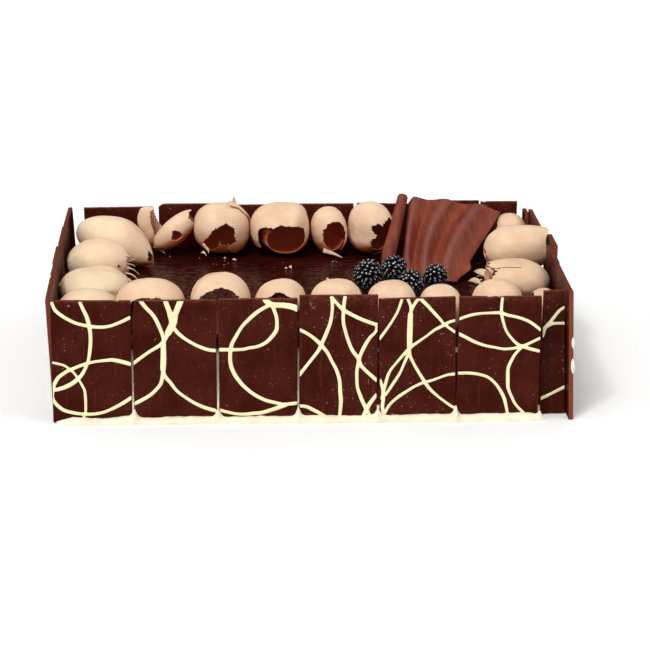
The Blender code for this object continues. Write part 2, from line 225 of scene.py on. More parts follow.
class Nodes:
    """The nodes of a material or a world."""

    def __init__(self, tree):
        self.tree = tree

    def node(self, kind, inputs=None, **settings):
        """A new node; inputs says what goes into its sockets, each a value or another node's output."""
        node = self.tree.nodes.new("ShaderNode" + kind)
        for key, value in settings.items():
            setattr(node, key, value)
        for key, value in (inputs or {}).items():
            if isinstance(value, bpy.types.NodeSocket):
                self.tree.links.new(value, node.inputs[key])
            else:
                node.inputs[key].default_value = value
        return node

    def place(self):
        """Place from the middle of the cake's foot, in metres."""
        return self.node("TexCoord").outputs["Object"]

    def part(self, vector, axis):
        return self.node("SeparateXYZ", {"Vector": vector}).outputs[axis]

    def noise(self, size, stretch=(1, 1, 1), detail=3.0, roughness=0.55):
        """Noise whose bumps are about size metres wide, narrower along an axis by its stretch."""
        scale = [share / size for share in stretch]
        vector = self.node("Mapping", {"Vector": self.place(), "Scale": scale}).outputs["Vector"]
        inputs = {"Vector": vector, "Scale": 1.0, "Detail": detail, "Roughness": roughness}
        return self.node("TexNoise", inputs).outputs["Fac"]

    def ramp(self, value, low=NOISE_LOW, high=NOISE_HIGH, low_value=0.0, high_value=1.0):
        """value carried smoothly from low..high to low_value..high_value."""
        limits = {"From Min": low, "From Max": high, "To Min": low_value, "To Max": high_value}
        node = self.node("MapRange", {"Value": value, **limits}, interpolation_type="SMOOTHSTEP")
        return node.outputs["Result"]

    def mixed(self, factor, first, second):
        """Two colours, each a socket or three numbers, mixed by a socket."""
        first, second = ((*value, 1) if isinstance(value, tuple) else value for value in (first, second))
        return self.node("Mix", {0: factor, 6: first, 7: second}, data_type="RGBA").outputs[2]

    def product(self, first, second):
        return self.node("Math", {0: first, 1: second}, operation="MULTIPLY").outputs[0]

    def facing(self, axis, low, high):
        """1 where the surface faces along an axis, either way round."""
        normal = self.node("NewGeometry").outputs["Normal"]
        size = self.node("Math", {0: self.part(normal, axis)}, operation="ABSOLUTE").outputs["Value"]
        return self.ramp(size, low, high)

    def spot(self, middle, radii, lean):
        """1 in the middle of an ellipsoid in mm, leaning about the depth of the cake, and 0 outside it."""
        inputs = {
            "Vector": self.place(),
            "Location": [value * MM for value in middle],
            "Rotation": (0, radians(lean), 0),
            "Scale": [value * MM for value in radii],
        }
        local = self.node("Mapping", inputs, vector_type="TEXTURE").outputs["Vector"]
        length = self.node("VectorMath", {0: local}, operation="LENGTH").outputs["Value"]
        return self.ramp(length, 0.45, 1.0, 1.0, 0.0)

    def attribute(self, name):
        return self.node("Attribute", attribute_name=name).outputs["Fac"]


class Finish(Nodes):
    """A material whose Principled shader takes these values on its own sockets."""

    def __init__(self, name, **inputs):
        self.material = bpy.data.materials.new(name)
        self.material.use_nodes = True
        super().__init__(self.material.node_tree)
        self.shader = self.tree.nodes["Principled BSDF"]
        for key, value in inputs.items():
            self.shader.inputs[key.replace("_", " ")].default_value = value

    def paint(self, factor, colour, over=None):
        """Lays a colour over another one, or over those laid so far, where factor is high."""
        base = self.shader.inputs["Base Color"]
        first = over or base.links[0].from_socket
        self.tree.links.new(self.mixed(factor, first, colour), base)

    def roughen(self, noise, smoothest, roughest):
        roughness = self.ramp(noise, low_value=smoothest, high_value=roughest)
        self.tree.links.new(roughness, self.shader.inputs["Roughness"])

    def bump(self, height, distance, strength=1.0):
        """Relief of that depth in metres, on top of any bump already there."""
        node = self.node("Bump", {"Height": height, "Distance": distance, "Strength": strength})
        normal = self.shader.inputs["Normal"]
        if normal.is_linked:
            self.tree.links.new(normal.links[0].from_socket, node.inputs["Normal"])
        self.tree.links.new(node.outputs["Normal"], normal)


# ---- Finishes ----


SMEARS = [  # pale smears on the panels: middle, half sizes and lean in mm and degrees, and strength
    ((-0.8, -116, 77.0), (2.0, 9, 4.6), -28, 1.0),
    ((6.5, -116, 71.5), (0.9, 9, 0.9), 0, 0.9),
    ((-153.0, -116, 78.0), (1.6, 9, 0.8), 0, 0.8),
    ((-133.0, -116, 72.0), (0.8, 9, 1.6), -30, 0.8),
    ((111.0, -116, 74.0), (0.6, 9, 2.4), -35, 0.7),
    ((-100.0, -116, 55.0), (0.5, 9, 3.0), 20, 0.5),
    ((-75.0, -116, 62.0), (0.5, 9, 2.0), -10, 0.5),
    ((60.0, -116, 40.0), (0.5, 9, 3.4), 12, 0.5),
]


def dark_chocolate(name, edge_axis, edge_painted_light=1.0):
    """Moulded panels: dark red-brown, with upright scratches, cloudy patches, dust and pale specks. Their
    broken edges, which face along edge_axis and up, are lighter, partly as broken chocolate and partly by
    painted light, the former by edge_painted_light. Near the top they are lighter in worn patches, wear
    together with a painted sheen."""
    look = Finish(name, Roughness=0.45, Specular_IOR_Level=0.10)
    clouds = look.noise(0.022, detail=4)
    scratches = look.noise(0.0011, (1, 1, 0.04))
    specks = look.noise(0.0013, detail=1)
    look.paint(look.ramp(clouds, 0.32, 0.7), (0.070, 0.0094, 0.0040), over=(0.046, 0.0050, 0.0016))
    look.paint(look.ramp(scratches, 0.55, 0.78, 0.0, 0.4), (0.125, 0.030, 0.018))
    # Lighter at the top in worn patches: wear together with a painted sheen.
    rim = look.ramp(look.part(look.place(), "Z"), 0.0765, 0.083, 0.0, 0.5)
    wear_and_sheen = look.ramp(look.noise(0.0024, (0.6, 0.6, 1), detail=5, roughness=0.7), 0.42, 0.66)
    look.paint(look.product(rim, wear_and_sheen), (0.19, 0.050, 0.030))
    # Painted light together with the broken chocolate's own lighter colour: faces along edge_axis, and up or
    # down, are lightened.
    for axis, light in ((edge_axis, edge_painted_light), ("Z", 1.0)):
        look.paint(look.facing(axis, 0.6, 0.9), tuple(light * value for value in (0.150, 0.034, 0.020)))
    dusty = look.product(look.ramp(specks, 0.70, 0.76), look.ramp(clouds, 0.42, 0.62, 0.15, 1.0))
    look.paint(dusty, (0.42, 0.25, 0.20))
    for middle, radii, lean, strength in SMEARS:
        smear = look.product(look.spot(middle, radii, lean), wear_and_sheen)
        look.paint(look.ramp(smear, 0.0, 1.0, 0.0, strength), (0.42, 0.27, 0.25))
    look.roughen(clouds, 0.36, 0.52)
    look.bump(scratches, 0.00010)
    look.bump(look.noise(0.006), 0.00025, 0.6)
    return look.material


def white_chocolate():
    """Thin lines on the panels: pale yellow, a little uneven."""
    look = Finish("white_chocolate", Roughness=0.4, Specular_IOR_Level=0.35)
    look.paint(look.ramp(look.noise(0.009)), (0.93, 0.86, 0.55), over=(0.84, 0.76, 0.44))
    look.roughen(look.noise(0.004), 0.34, 0.5)
    look.bump(look.noise(0.0016), 0.00006)
    return look.material


def cream():
    """Whipped cream: soft, matte and finely pitted."""
    soft = {"Subsurface_Weight": 0.12, "Subsurface_Scale": 0.002}
    look = Finish("cream", Roughness=0.6, Specular_IOR_Level=0.25, **soft)
    look.paint(look.ramp(look.noise(0.012)), (0.87, 0.81, 0.64), over=(0.79, 0.72, 0.54))
    look.roughen(look.noise(0.003), 0.5, 0.7)
    look.bump(look.noise(0.0014, detail=4), 0.00035)
    return look.material


def caramel_chocolate():
    """Shaved curls: pale caramel with fine drawn lines, painted orange-brown shade underneath, painted dark
    red shade inside the roll, and painted light that makes the left row paler.
    """
    soft = {"Subsurface_Weight": 0.12, "Subsurface_Scale": 0.003, "Subsurface_Radius": (1.0, 0.35, 0.12)}
    look = Finish("caramel_chocolate", Roughness=0.48, Specular_IOR_Level=0.25, **soft)
    clouds = look.noise(0.014, detail=4)
    lines = look.noise(0.0013, (1, 1, 0.35))
    look.paint(look.ramp(clouds, 0.3, 0.72), (0.82, 0.595, 0.405), over=(0.74, 0.485, 0.315))
    look.paint(look.ramp(lines, 0.5, 0.85, 0.0, 0.25), (0.66, 0.38, 0.20))
    # Painted light: paler towards the cake's left end, on the left row of curls.
    look.paint(look.ramp(look.part(look.place(), "X"), -0.138, -0.116, 0.45, 0.0), (0.93, 0.74, 0.50))
    # Painted shade: orange-brown where the curl faces down, scaled by under_shade.
    look.paint(look.ramp(look.attribute("under"), -0.12, 0.66), (0.56, 0.125, 0.022))
    # Painted shade: dark red inside the roll, deeper away from the mouth, and where another turn covers the
    # sheet.
    look.paint(look.product(look.attribute("inside"), look.attribute("depth")), (0.60, 0.135, 0.052))
    look.roughen(clouds, 0.4, 0.54)
    look.bump(lines, 0.0001)
    look.bump(look.noise(0.005), 0.0003, 0.5)
    return look.material


def glaze():
    """Poured dark glaze: glossy, with low lumps that catch the light near the front."""
    look = Finish("glaze", Roughness=0.2, Specular_IOR_Level=0.42, Specular_Tint=(0.95, 0.72, 0.86, 1))
    clouds = look.noise(0.03, (0.6, 1, 1), detail=4)
    lumps = look.noise(0.0046, (0.7, 1, 1), detail=2, roughness=0.4)
    look.paint(look.ramp(clouds, 0.35, 0.7), (0.040, 0.0036, 0.0026), over=(0.020, 0.0014, 0.0010))
    look.roughen(lumps, 0.14, 0.34)
    look.bump(lumps, 0.0016, 0.8)
    return look.material


def milk_chocolate():
    """Pleated sheet: warm brown with a satin sheen and rusty streaks, a painted grey sheen on its crests and
    painted red shade in the hollows between them.
    """
    look = Finish("milk_chocolate", Roughness=0.4, Specular_IOR_Level=0.3)
    clouds = look.noise(0.016, (1, 0.5, 0.5), detail=4)
    streaks = look.noise(0.0035, (1.3, 0.22, 0.22))
    crest = look.attribute("depth")
    look.paint(look.ramp(clouds), (0.215, 0.047, 0.026), over=(0.135, 0.025, 0.013))
    # Painted sheen: greyer on the folds' crests.
    look.paint(look.ramp(crest, 0.2, 1.0, 0.0, 0.6), (0.215, 0.070, 0.058))
    # Painted shade: redder in the hollows between the folds.
    look.paint(look.ramp(crest, -1.0, 0.0, 0.7, 0.0), (0.21, 0.036, 0.012))
    look.paint(look.ramp(streaks, 0.48, 0.74, 0.0, 0.6), (0.31, 0.080, 0.026))
    look.roughen(streaks, 0.34, 0.48)
    look.bump(streaks, 0.00035, 0.7)
    look.bump(look.noise(0.0012), 0.00006)
    return look.material


def dark_fruit():
    """Berries: near black, tinted blue and red by turns, wet, with a painted highlight: a pale point on each
    drupelet.
    """
    look = Finish("dark_fruit", Roughness=0.08, Specular_IOR_Level=0.6)
    look.paint(look.ramp(look.noise(0.005)), (0.0060, 0.0014, 0.0024), over=(0.0012, 0.0011, 0.0020))
    # Painted highlight: a pale point on the top of each drupelet.
    look.paint(look.attribute("tip"), (0.78, 0.78, 0.84))
    look.roughen(look.noise(0.002), 0.06, 0.14)
    look.bump(look.noise(0.0012), 0.00006)
    return look.material


def floor_finish():
    look = Finish("pale_floor", Roughness=0.8, Specular_IOR_Level=0.1)
    look.paint(look.ramp(look.noise(0.3)), (0.95, 0.95, 0.95), over=(0.93, 0.93, 0.93))
    return look.material


# ---- Camera, light and floor ----

CAMERA_PLACE = (-48.1, -1340.4, 474.4)  # where the photo was taken from
CAMERA_PITCH = 18.478  # down from level
CAMERA_YAW = 2.555  # from the cake's depth towards +X
CAMERA_ROLL = 0.388
LENS = 114.33  # millimetres, for a picture 36 mm wide
SUNS = [  # where each light comes from, its strength, and the angle it spreads over
    ((-0.35, -0.62, 1.0), 1.36, 22),
    ((-0.45, -0.55, 1.0), 0.45, 6.0),
    ((1.0, -0.5, 0.55), 0.4, 40),
    ((-1.0, -0.35, 0.45), 0.45, 40),
]
SKY_TO_CAMERA = 1.0
SKY_DIFFUSE = 0.6
SKY_GLOSSY = 0.55
FLOOR_SIZE = 16.0


def make_camera():
    data = bpy.data.cameras.new("camera")
    data.lens = LENS
    data.clip_end = 50
    camera = bpy.data.objects.new("camera", data)
    bpy.context.scene.collection.objects.link(camera)
    turn = Matrix.Rotation(-radians(CAMERA_YAW), 4, "Z")
    turn = turn @ Matrix.Rotation(pi / 2 - radians(CAMERA_PITCH), 4, "X")
    turn = turn @ Matrix.Rotation(radians(CAMERA_ROLL), 4, "Z")
    camera.matrix_world = Matrix.Translation(Vector(CAMERA_PLACE) * MM) @ turn
    bpy.context.scene.camera = camera


def make_sky():
    """White behind the cake, softer as a light, and in reflections bright only from above."""
    world = bpy.data.worlds.new("studio")
    bpy.context.scene.world = world
    world.use_nodes = True
    sky = Nodes(world.node_tree)
    ray = sky.node("LightPath")
    direction = sky.node("TexCoord").outputs["Generated"]
    above = sky.ramp(sky.part(direction, "Z"), 0.45, 1.0, 0.0, SKY_GLOSSY)
    light = sky.mixed(ray.outputs["Is Glossy Ray"], (SKY_DIFFUSE,) * 3, above)
    light = sky.mixed(ray.outputs["Is Camera Ray"], light, (SKY_TO_CAMERA,) * 3)
    sky.tree.links.new(light, sky.tree.nodes["Background"].inputs["Color"])


def make_suns():
    for i, (direction, strength, spread) in enumerate(SUNS, 1):
        data = bpy.data.lights.new(f"sun_{i}", "SUN")
        data.energy = strength
        data.angle = radians(spread)
        sun = bpy.data.objects.new(f"sun_{i}", data)
        bpy.context.scene.collection.objects.link(sun)
        sun.rotation_euler = Vector(direction).to_track_quat("Z", "Y").to_euler()


def make_floor():
    mesh = bpy.data.meshes.new("floor")
    half = FLOOR_SIZE / 2
    corners = [(x * half, y * half, CAD_BOX[0].z) for x, y in ((-1, -1), (1, -1), (1, 1), (-1, 1))]
    mesh.from_pydata(corners, [], [(0, 1, 2, 3)])
    mesh.materials.append(floor_finish())
    floor = bpy.data.objects.new("floor", mesh)
    floor.visible_glossy = False
    bpy.context.scene.collection.objects.link(floor)


# ---- Panels ----

FACING = {"front": (0, -1, 0), "right": (1, 0, 0), "back": (0, 1, 0), "left": (-1, 0, 0)}
PANEL_THICKNESS = 3 * MM
EDGE_STEP = 2.1 * MM
EDGE_WAVE = 0.13 * MM
EDGE_ROUNDING = 0.3 * MM
CHIP_CHANCE = 0.05
CHIP_DEPTH = 0.7 * MM
CHIPPED_BAND = 3 * MM  # below the top, where most of the chips are
FACES_OUT = 0.96  # least cosine between the face's normal and its side's direction


class Face:
    """A panel's outer face: directions along, up and out, its plane's distance, and its outline."""

    def __init__(self, node):
        outward = Vector(FACING[node.split("_")[1]])
        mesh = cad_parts[node].data
        normal = Vector((0, 0, 0))
        for polygon in mesh.polygons:
            if polygon.normal.dot(outward) > FACES_OUT:
                normal += polygon.normal * polygon.area**2
        self.out = normal.normalized()
        self.along = UP.cross(self.out).normalized()
        self.up = self.out.cross(self.along)
        corners = [vertex.co for vertex in mesh.vertices]
        self.distance = max(corner.dot(self.out) for corner in corners)
        flat = [Vector((corner.dot(self.along), corner.dot(self.up))) for corner in corners]
        self.outline = [flat[i] for i in convex_hull_2d(flat)]
        area = sum(a.cross(b) for a, b in zip(self.outline, self.outline[1:] + self.outline[:1]))
        if area < 0:
            self.outline.reverse()

    def point(self, u, v):
        return self.along * u + self.up * v + self.out * self.distance

    def place(self, flat, out):
        """World points of the array flat (n, 2), each out in front of the face."""
        basis = np.array([self.along, self.up])
        return flat @ basis + np.outer(self.distance + out, self.out)


def rough_outline(outline, seed):
    """The outline cut into short steps, a little wavy, with a few chips in its top edge."""
    rng = np.random.default_rng(seed)
    top = max(point.y for point in outline)
    points = []
    for start, end in zip(outline, outline[1:] + outline[:1]):
        side = end - start
        if side.length < EDGE_STEP / 4:
            continue
        inward = Vector((-side.y, side.x)).normalized()
        steps = max(1, round(side.length / EDGE_STEP))
        for i in range(steps):
            depth = EDGE_WAVE * rng.random()
            near_top = min(start.y, end.y) > top - CHIPPED_BAND
            if rng.random() < (CHIP_CHANCE if near_top else CHIP_CHANCE / 3):
                depth += CHIP_DEPTH * rng.uniform(0.3, 1)
            points.append(start.lerp(end, i / steps) + inward * depth)
    return points


def panel_mesh(name, face, seed):
    bm = bmesh.new()
    outline = rough_outline(face.outline, seed)
    front = bm.faces.new([bm.verts.new(face.point(*point)) for point in outline])
    raised = bmesh.ops.extrude_face_region(bm, geom=[front])["geom"]
    back = [vertex for vertex in raised if isinstance(vertex, bmesh.types.BMVert)]
    bmesh.ops.translate(bm, verts=back, vec=-face.out * PANEL_THICKNESS)
    bmesh.ops.recalc_face_normals(bm, faces=bm.faces)
    rims = [edge for edge in bm.edges if any(len(side.verts) > 4 for side in edge.link_faces)]
    bmesh.ops.bevel(bm, geom=rims, offset=EDGE_ROUNDING, segments=2, profile=0.5, affect="EDGES")
    mesh = bpy.data.meshes.new(name)
    bm.to_mesh(mesh)
    bm.free()
    return mesh


def make_panels(long_finish, side_finish):
    faces = {}
    for i, node in enumerate(sorted(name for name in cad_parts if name.startswith("panel_"))):
        faces[node] = Face(node)
        name = node.replace("panel", "sheet")
        finish = side_finish if node.split("_")[1] in ("left", "right") else long_finish
        add_piece(name, panel_mesh(name, faces[node], i), finish, "dark_chocolate", node, smooth=0)
    return faces


# ---- White lines on the panels ----

# The lines on each front panel: points (x, z) along each, and its half width where it isn't the usual
FRONT_LINES = {
    1: [
        [(-163.5, 80.5), (-161.5, 75.5), (-156.5, 71), (-149.5, 67), (-142.5, 65), (-135, 64),
         (-128.5, 64.5), (-121.5, 67), (-114.5, 70.5)],
        [(-146, 80.5), (-144, 75.5), (-141.5, 69), (-140, 57.5), (-141.5, 43.5), (-145, 34.5),
         (-149, 29.5), (-154.5, 25.5), (-161, 23), (-165, 22.5)],
        [(-165, 41), (-157.5, 39), (-154, 36.5), (-150.5, 33), (-146, 25), (-144.5, 20), (-144.5, 8),
         (-146, 3.5), 0.8],
        [(-114, 39), (-125, 42), (-130.5, 42), (-141, 40.5), (-152, 36.5), (-157.5, 33.5), (-161.5, 30),
         (-164, 25), (-165, 20), (-164.5, 15.5), (-161, 11), (-156, 8), (-145, 6), (-134, 7), (-123, 12),
         (-114, 18)],
    ],
    2: [
        [(-109, 82), (-105.5, 77), (-101.5, 72.5), (-98.5, 67.5), (-95, 58), (-94.5, 51), (-95, 34),
         (-90.5, 26.5), (-86.5, 21), (-81, 16.5), (-75, 12.5), (-68.5, 9.5), (-60.5, 7)],
        [(-94.7, 53), (-94.8, 44), (-95.2, 36), 1.6],
        [(-95, 36), (-96.5, 27), (-99.5, 22.5), (-103, 19), (-107.5, 16), (-115, 12)],
        [(-115, 38.9), (-109, 43.5), (-103.5, 47.5), (-95.5, 53), (-91, 60.5), (-89, 64), (-86.5, 72.5),
         (-83, 82)],
        [(-91.5, 60), (-88.5, 66), (-87.6, 70), 1.9],
        [(-93.4, 82.5), (-91.8, 77.5), (-89.2, 71), 1.5],
        [(-82.8, 82.5), (-85.6, 75.5), (-88, 69), 1.6],
        [(-93, 82), (-91.5, 76), (-89, 65.5), (-86.5, 61), (-82.5, 57), (-77.5, 53.5), (-72, 50.5),
         (-66.5, 48.5), (-60.5, 47.8)],
    ],
    3: [
        [(-62, 48.5), (-46.5, 48.5), (-41, 49.5), (-35.5, 50.5), (-30.5, 53), (-27, 56.5), (-24, 61),
         (-23.5, 65.5), (-24, 70.5), (-26.5, 78)],
        [(-26.5, 78), (-30.5, 76.5), (-36, 73), (-41, 68.5), (-45.5, 63.5), (-49, 57.5), (-52, 51.5),
         (-53, 44), (-52.5, 38), (-50.5, 32.5), (-47, 27), (-43, 22.5), (-37.5, 18), (-31, 14.5),
         (-24, 12.5), (-18.5, 11.5), (-9, 12.5)],
        [(-32, 83), (-27.5, 78.3), (-19.5, 77.5), (-14, 76.5), (-9, 74.5), 1.8],
        [(-62, 8.5), (-50.5, 5.5), (-44, 5), (-38.5, 5.5), (-33, 6), (-26.5, 8), (-18, 11)],
    ],
    4: [
        [(-10.5, 62), (-5.5, 59.5), (-0.5, 56), (4, 51.5), (8, 46.5), (11, 40.5), (14, 34.5), (16, 27.5),
         (16.5, 20), (17, 12.5), (16, 0.5)],
        [(10.5, 85.5), (11, 79), (11, 73.5), (10, 66.5), (7.5, 59), (5, 53), (2.5, 47.5), (-1.5, 42),
         (-6, 36), (-10.5, 30)],
        [(10.5, 83), (14.5, 78), (18, 74.5), (21, 72.5), (26.5, 69.5), (32, 67), (40, 64)],
        [(19.5, 85.5), (18.5, 79), (18, 67.5), (19.5, 60), (21.5, 53.5), (24, 47.5), (27.5, 42.5),
         (29.5, 37.5), (33, 33.5), (41, 26)],
        [(39.5, 65), (38.5, 60), (35, 56), (32, 51), (29.5, 45.5), (28, 40), (27, 34), (27, 28.5),
         (27.5, 22.5), (29.5, 16.5), (31.5, 11.5), (36.5, 1.5)],
        [(41, 19.5), (37, 14), (34.5, 10), (30.5, 1.5)],
        [(-10.5, 10.6), (-5, 10), (-1, 8), (3.5, 5.5), (10.5, 1)],
    ],
    5: [
        [(55, 82), (52.5, 74), (49.5, 68), (45.5, 61.5), (41, 55), (39.8, 53.5), 0.85],
        [(58, 82), (60, 77), (60.5, 72)],
        [(66, 83), (62.5, 77.5), (60.5, 72.5), (60, 66), (60, 49), (60.5, 44), (62.5, 39), (65.5, 33.5),
         (68.5, 28.5), (72, 23), (76.5, 18), (82.5, 13), (88, 9), (92, 7)],
        [(60.2, 71), (60, 61), (60, 50), 1.7],
        [(65.5, 82), (70.5, 77), (74.5, 72.5), (79, 67.5), (82, 64), (92, 56.5)],
        [(92, 67.5), (85.5, 66), (81, 63.5), (75.5, 60.5), (70.5, 56.5), (65, 52.5), (60.5, 49),
         (56.5, 44.5), (52, 39), (48, 33.5), (46, 28), (43, 15)],
        [(60, 46), (57, 39), (54.5, 32.5), (51, 26.5), (45.5, 17.5)],
        [(91, 31.2), (84.5, 30.5), (79, 28.5), (73.5, 26.5), (69.5, 25.5), (64, 23), (58.5, 19.5),
         (53, 15.5), (48, 10.5), (44, 3)],
        [(42, 27), (43.5, 21), (44, 15), (43.5, 9.5), (44.5, 2)],
    ],
    6: [
        [(89.5, 67), (96, 69.5), (102.5, 71), (110, 71.5), (117, 71.5), (121.5, 70), (128, 68.5),
         (134.5, 66), (139, 63), (144.5, 58.4)],
        [(118, 83.5), (117.5, 77), (117.5, 71.5), (119, 65), (121, 59.5), (124.5, 54.5), (128.5, 50.5),
         (132, 49), (136.5, 47.5), (145, 45.2)],
        [(89.5, 58.6), (95.5, 55.5), (101, 52.5), (107.5, 50), (114.5, 48.5), (120, 47.5), (126.5, 48),
         (132, 49.5), (136.5, 51.5), (145, 55.8)],
        [(131.5, 49), (127.5, 44.5), (125, 40), (123, 34.5), (123, 27.5), (123.5, 21), (126, 15),
         (129, 9.5), (136.5, 1.5)],
        [(89.5, 31.5), (98.5, 31.5), (105, 30.5), (110.5, 28.5), (115, 24.5), (118.5, 19.5), (121, 14.5),
         (122.5, 9), (124, 2)],
    ],
    7: [
        [(162, 75), (159, 72.5), (155.5, 70), (152.5, 66), (150, 62.5), (147, 59), (145.4, 53)],
        [(162, 61.5), (155.5, 61.5), (151, 61), (144, 57)],
        [(163, 19.5), (157, 16.5), (152.5, 14), (144.5, 10)],
    ],
}
HALF_WIDTHS = (1.10, 1.10, 1.14, 1.10, 0.96, 0.96, 1.02)  # of a usual line on each front panel
FILLET = 0.6  # how far a crossing is filled in
LINE_STEP = 0.6  # of the grid on the front, in mm
HIDDEN_STEP = 0.95  # on the other sides
LINE_RISE = 0.22 * MM
LINE_EDGE = 0.05 * MM  # how high a line's edge stands on the panel
LINE_SINK = 0.15 * MM  # how far the line reaches into it
DOME = 0.9  # width of a line's rounded edge, in mm
MARGIN = 0.35  # kept clear inside the panel's rounded rim, in mm
TRACK_STEP = 0.5
LINE_REACH = 5.0  # how far from its middle a line is worked out
FAR = 9.0  # a distance from any line that is past that
LEAST_SHARE = 0.02  # how near a cell's corner the outline may cross its side
LEAST_SIDE = 0.2  # of a panel's outline that counts
LOOPS = 2  # on each panel of the other sides
LOOP_RADIUS = (22, 33)
LOOP_ADVANCE = (34, 52)  # how far a loop's start is from the next one's
LOOP_OFFSET = 26
LOOP_HALF_WIDTH = (0.95, 1.2)


def curve_points(points):
    """Points every TRACK_STEP mm along a smooth line through points."""
    points = np.array(points, float)
    ends = np.concatenate([2 * points[:1] - points[1:2], points, 2 * points[-1:] - points[-2:-1]])
    made = []
    for a, b, c, d in zip(ends, ends[1:], ends[2:], ends[3:]):
        count = max(2, ceil(np.linalg.norm(c - b) / TRACK_STEP))
        t = np.arange(count)[:, None] / count
        made.append(spline(a, b, c, d, t))
    return np.concatenate([*made, points[-1:]])


def line_field(us, vs, points, half_width, seed):
    """How far each grid point lies outside one line, in mm."""
    field = np.full((len(us), len(vs)), FAR)
    track = curve_points(points)
    widths = half_width * (1 + 0.16 * wobble(track, 14, seed))
    for (u, v), wide in zip(track, widths):
        across = slice(*np.searchsorted(us, (u - LINE_REACH, u + LINE_REACH)))
        upward = slice(*np.searchsorted(vs, (v - LINE_REACH, v + LINE_REACH)))
        window = np.hypot(us[across, None] - u, vs[None, upward] - v) - wide
        np.minimum(field[across, upward], window, out=field[across, upward])
    return field


def joined(first, second):
    """Union of two fields, its inner corners filled in smoothly."""
    near = np.clip(FILLET - np.abs(first - second), 0, None)
    return np.minimum(first, second) - near**2 / (4 * FILLET)


def panel_field(us, vs, outline):
    """How far each grid point lies outside the panel's face, in mm."""
    field = np.full((len(us), len(vs)), -np.inf)
    points = [point / MM for point in outline]
    for start, end in zip(points, points[1:] + points[:1]):
        side = end - start
        if side.length < LEAST_SIDE:
            continue
        away = Vector((side.y, -side.x)).normalized()
        distance = (us[:, None] - start.x) * away.x + (vs[None, :] - start.y) * away.y
        np.maximum(field, distance + MARGIN, out=field)
    return field


def contour_faces(field):
    """Cells of the field's grid cut off at zero: points (grid units), polygons and the outline's edges."""
    inside = field < 0
    keys, points, polygons, rims = {}, [], [], []

    def corner(i, j):
        if (i, j) not in keys:
            keys[i, j] = len(points)
            points.append((i, j, field[i, j]))
        return keys[i, j]

    def crossing(a, b):
        key = (min(a, b), max(a, b))
        if key not in keys:
            (i, j), (k, m) = key
            share = field[i, j] / (field[i, j] - field[k, m])
            share = min(max(share, LEAST_SHARE), 1 - LEAST_SHARE)
            keys[key] = len(points)
            points.append((i + (k - i) * share, j + (m - j) * share, 0.0))
        return keys[key]

    corners_in = inside[:-1, :-1].astype(int) + inside[1:, :-1] + inside[1:, 1:] + inside[:-1, 1:]
    for i, j in zip(*np.nonzero(corners_in)):
        ring = [(i, j), (i + 1, j), (i + 1, j + 1), (i, j + 1)]
        if corners_in[i, j] == 4:
            polygons.append([corner(*c) for c in ring])
            continue
        made = []
        for a, b in zip(ring, ring[1:] + ring[:1]):
            if inside[a]:
                made.append((corner(*a), False))
            if inside[a] != inside[b]:
                made.append((crossing(a, b), True))
        polygons.append([index for index, _ in made])
        for (a, a_cut), (b, b_cut) in zip(made, made[1:] + made[:1]):
            if a_cut and b_cut and (a, b) not in rims:
                rims.append((a, b))
    return np.array(points), polygons, rims


def relief_mesh(name, face, us, vs, field):
    """A thin raised pattern on a panel's face wherever the field is negative, closed underneath."""
    points, polygons, rims = contour_faces(field)
    cell = np.array([us[1] - us[0], vs[1] - vs[0]])
    flat = ((us[0], vs[0]) + points[:, :2] * cell) * MM
    rise = LINE_EDGE + LINE_RISE * (1 - (1 - np.clip(-points[:, 2] / DOME, 0, 1)) ** 2)
    top = face.place(flat, rise)
    bottom = face.place(flat, np.full(len(flat), -LINE_SINK))
    count = len(points)
    faces = polygons + [[index + count for index in reversed(polygon)] for polygon in polygons]
    faces += [[b, a, a + count, b + count] for a, b in rims]
    mesh = bpy.data.meshes.new(name)
    mesh.from_pydata(np.concatenate([top, bottom]).tolist(), [], faces)
    return mesh


def extent(outline):
    """Lowest and highest u and v of an outline, in mm."""
    flat = np.array(outline) / MM
    return flat.min(axis=0), flat.max(axis=0)


def grid_over(outline, step):
    """Grid lines (us, vs) in mm that cover the outline."""
    return [np.arange(low - step, high + 2 * step, step) for low, high in zip(*extent(outline))]


def looping_lines(outline, seed):
    """Big loose loops over one panel, drawn like those of the front: (points, half width)."""
    rng = np.random.default_rng(seed)
    middle = np.add(*extent(outline)) / 2
    t = np.arange(-3.2 * pi, 3.2 * pi, 0.5)
    lines = []
    for _ in range(LOOPS):
        radius = rng.uniform(*LOOP_RADIUS)
        advance = rng.uniform(*LOOP_ADVANCE)
        heading = rng.uniform(-0.5, 0.5) + (pi if rng.random() < 0.5 else 0)
        offset = rng.uniform(-LOOP_OFFSET, LOOP_OFFSET)
        phase = rng.uniform(0, 2 * pi)
        wave = radius * (1 + 0.12 * np.sin(0.7 * t + phase))
        along = advance * t / (2 * pi) + wave * np.sin(t + phase)
        across = offset + wave * np.cos(t + phase)
        u = middle[0] + along * cos(heading) - across * sin(heading)
        v = middle[1] + along * sin(heading) + across * cos(heading)
        lines.append((np.stack([u, v], 1), rng.uniform(*LOOP_HALF_WIDTH)))
    return lines


def make_lines(faces, finish):
    for seed, (node, face) in enumerate(sorted(faces.items())):
        side, number = node.split("_")[1:]
        us, vs = grid_over(face.outline, LINE_STEP if side == "front" else HIDDEN_STEP)
        if side == "front":
            rows = FRONT_LINES[int(number)]
            usual = HALF_WIDTHS[int(number) - 1]
            lines = [(row[:-1], row[-1]) if isinstance(row[-1], float) else (row, usual) for row in rows]
        else:
            lines = looping_lines(face.outline, 40 + seed)
        field = np.full((len(us), len(vs)), FAR)
        for i, (points, half_width) in enumerate(lines):
            field = joined(field, line_field(us, vs, points, half_width, 100 * seed + i))
        field = np.maximum(field, panel_field(us, vs, face.outline))
        name = f"lines_{side}_{number}"
        add_piece(name, relief_mesh(name, face, us, vs, field), finish, "white_chocolate", smooth=60)


# ---- Cream ----

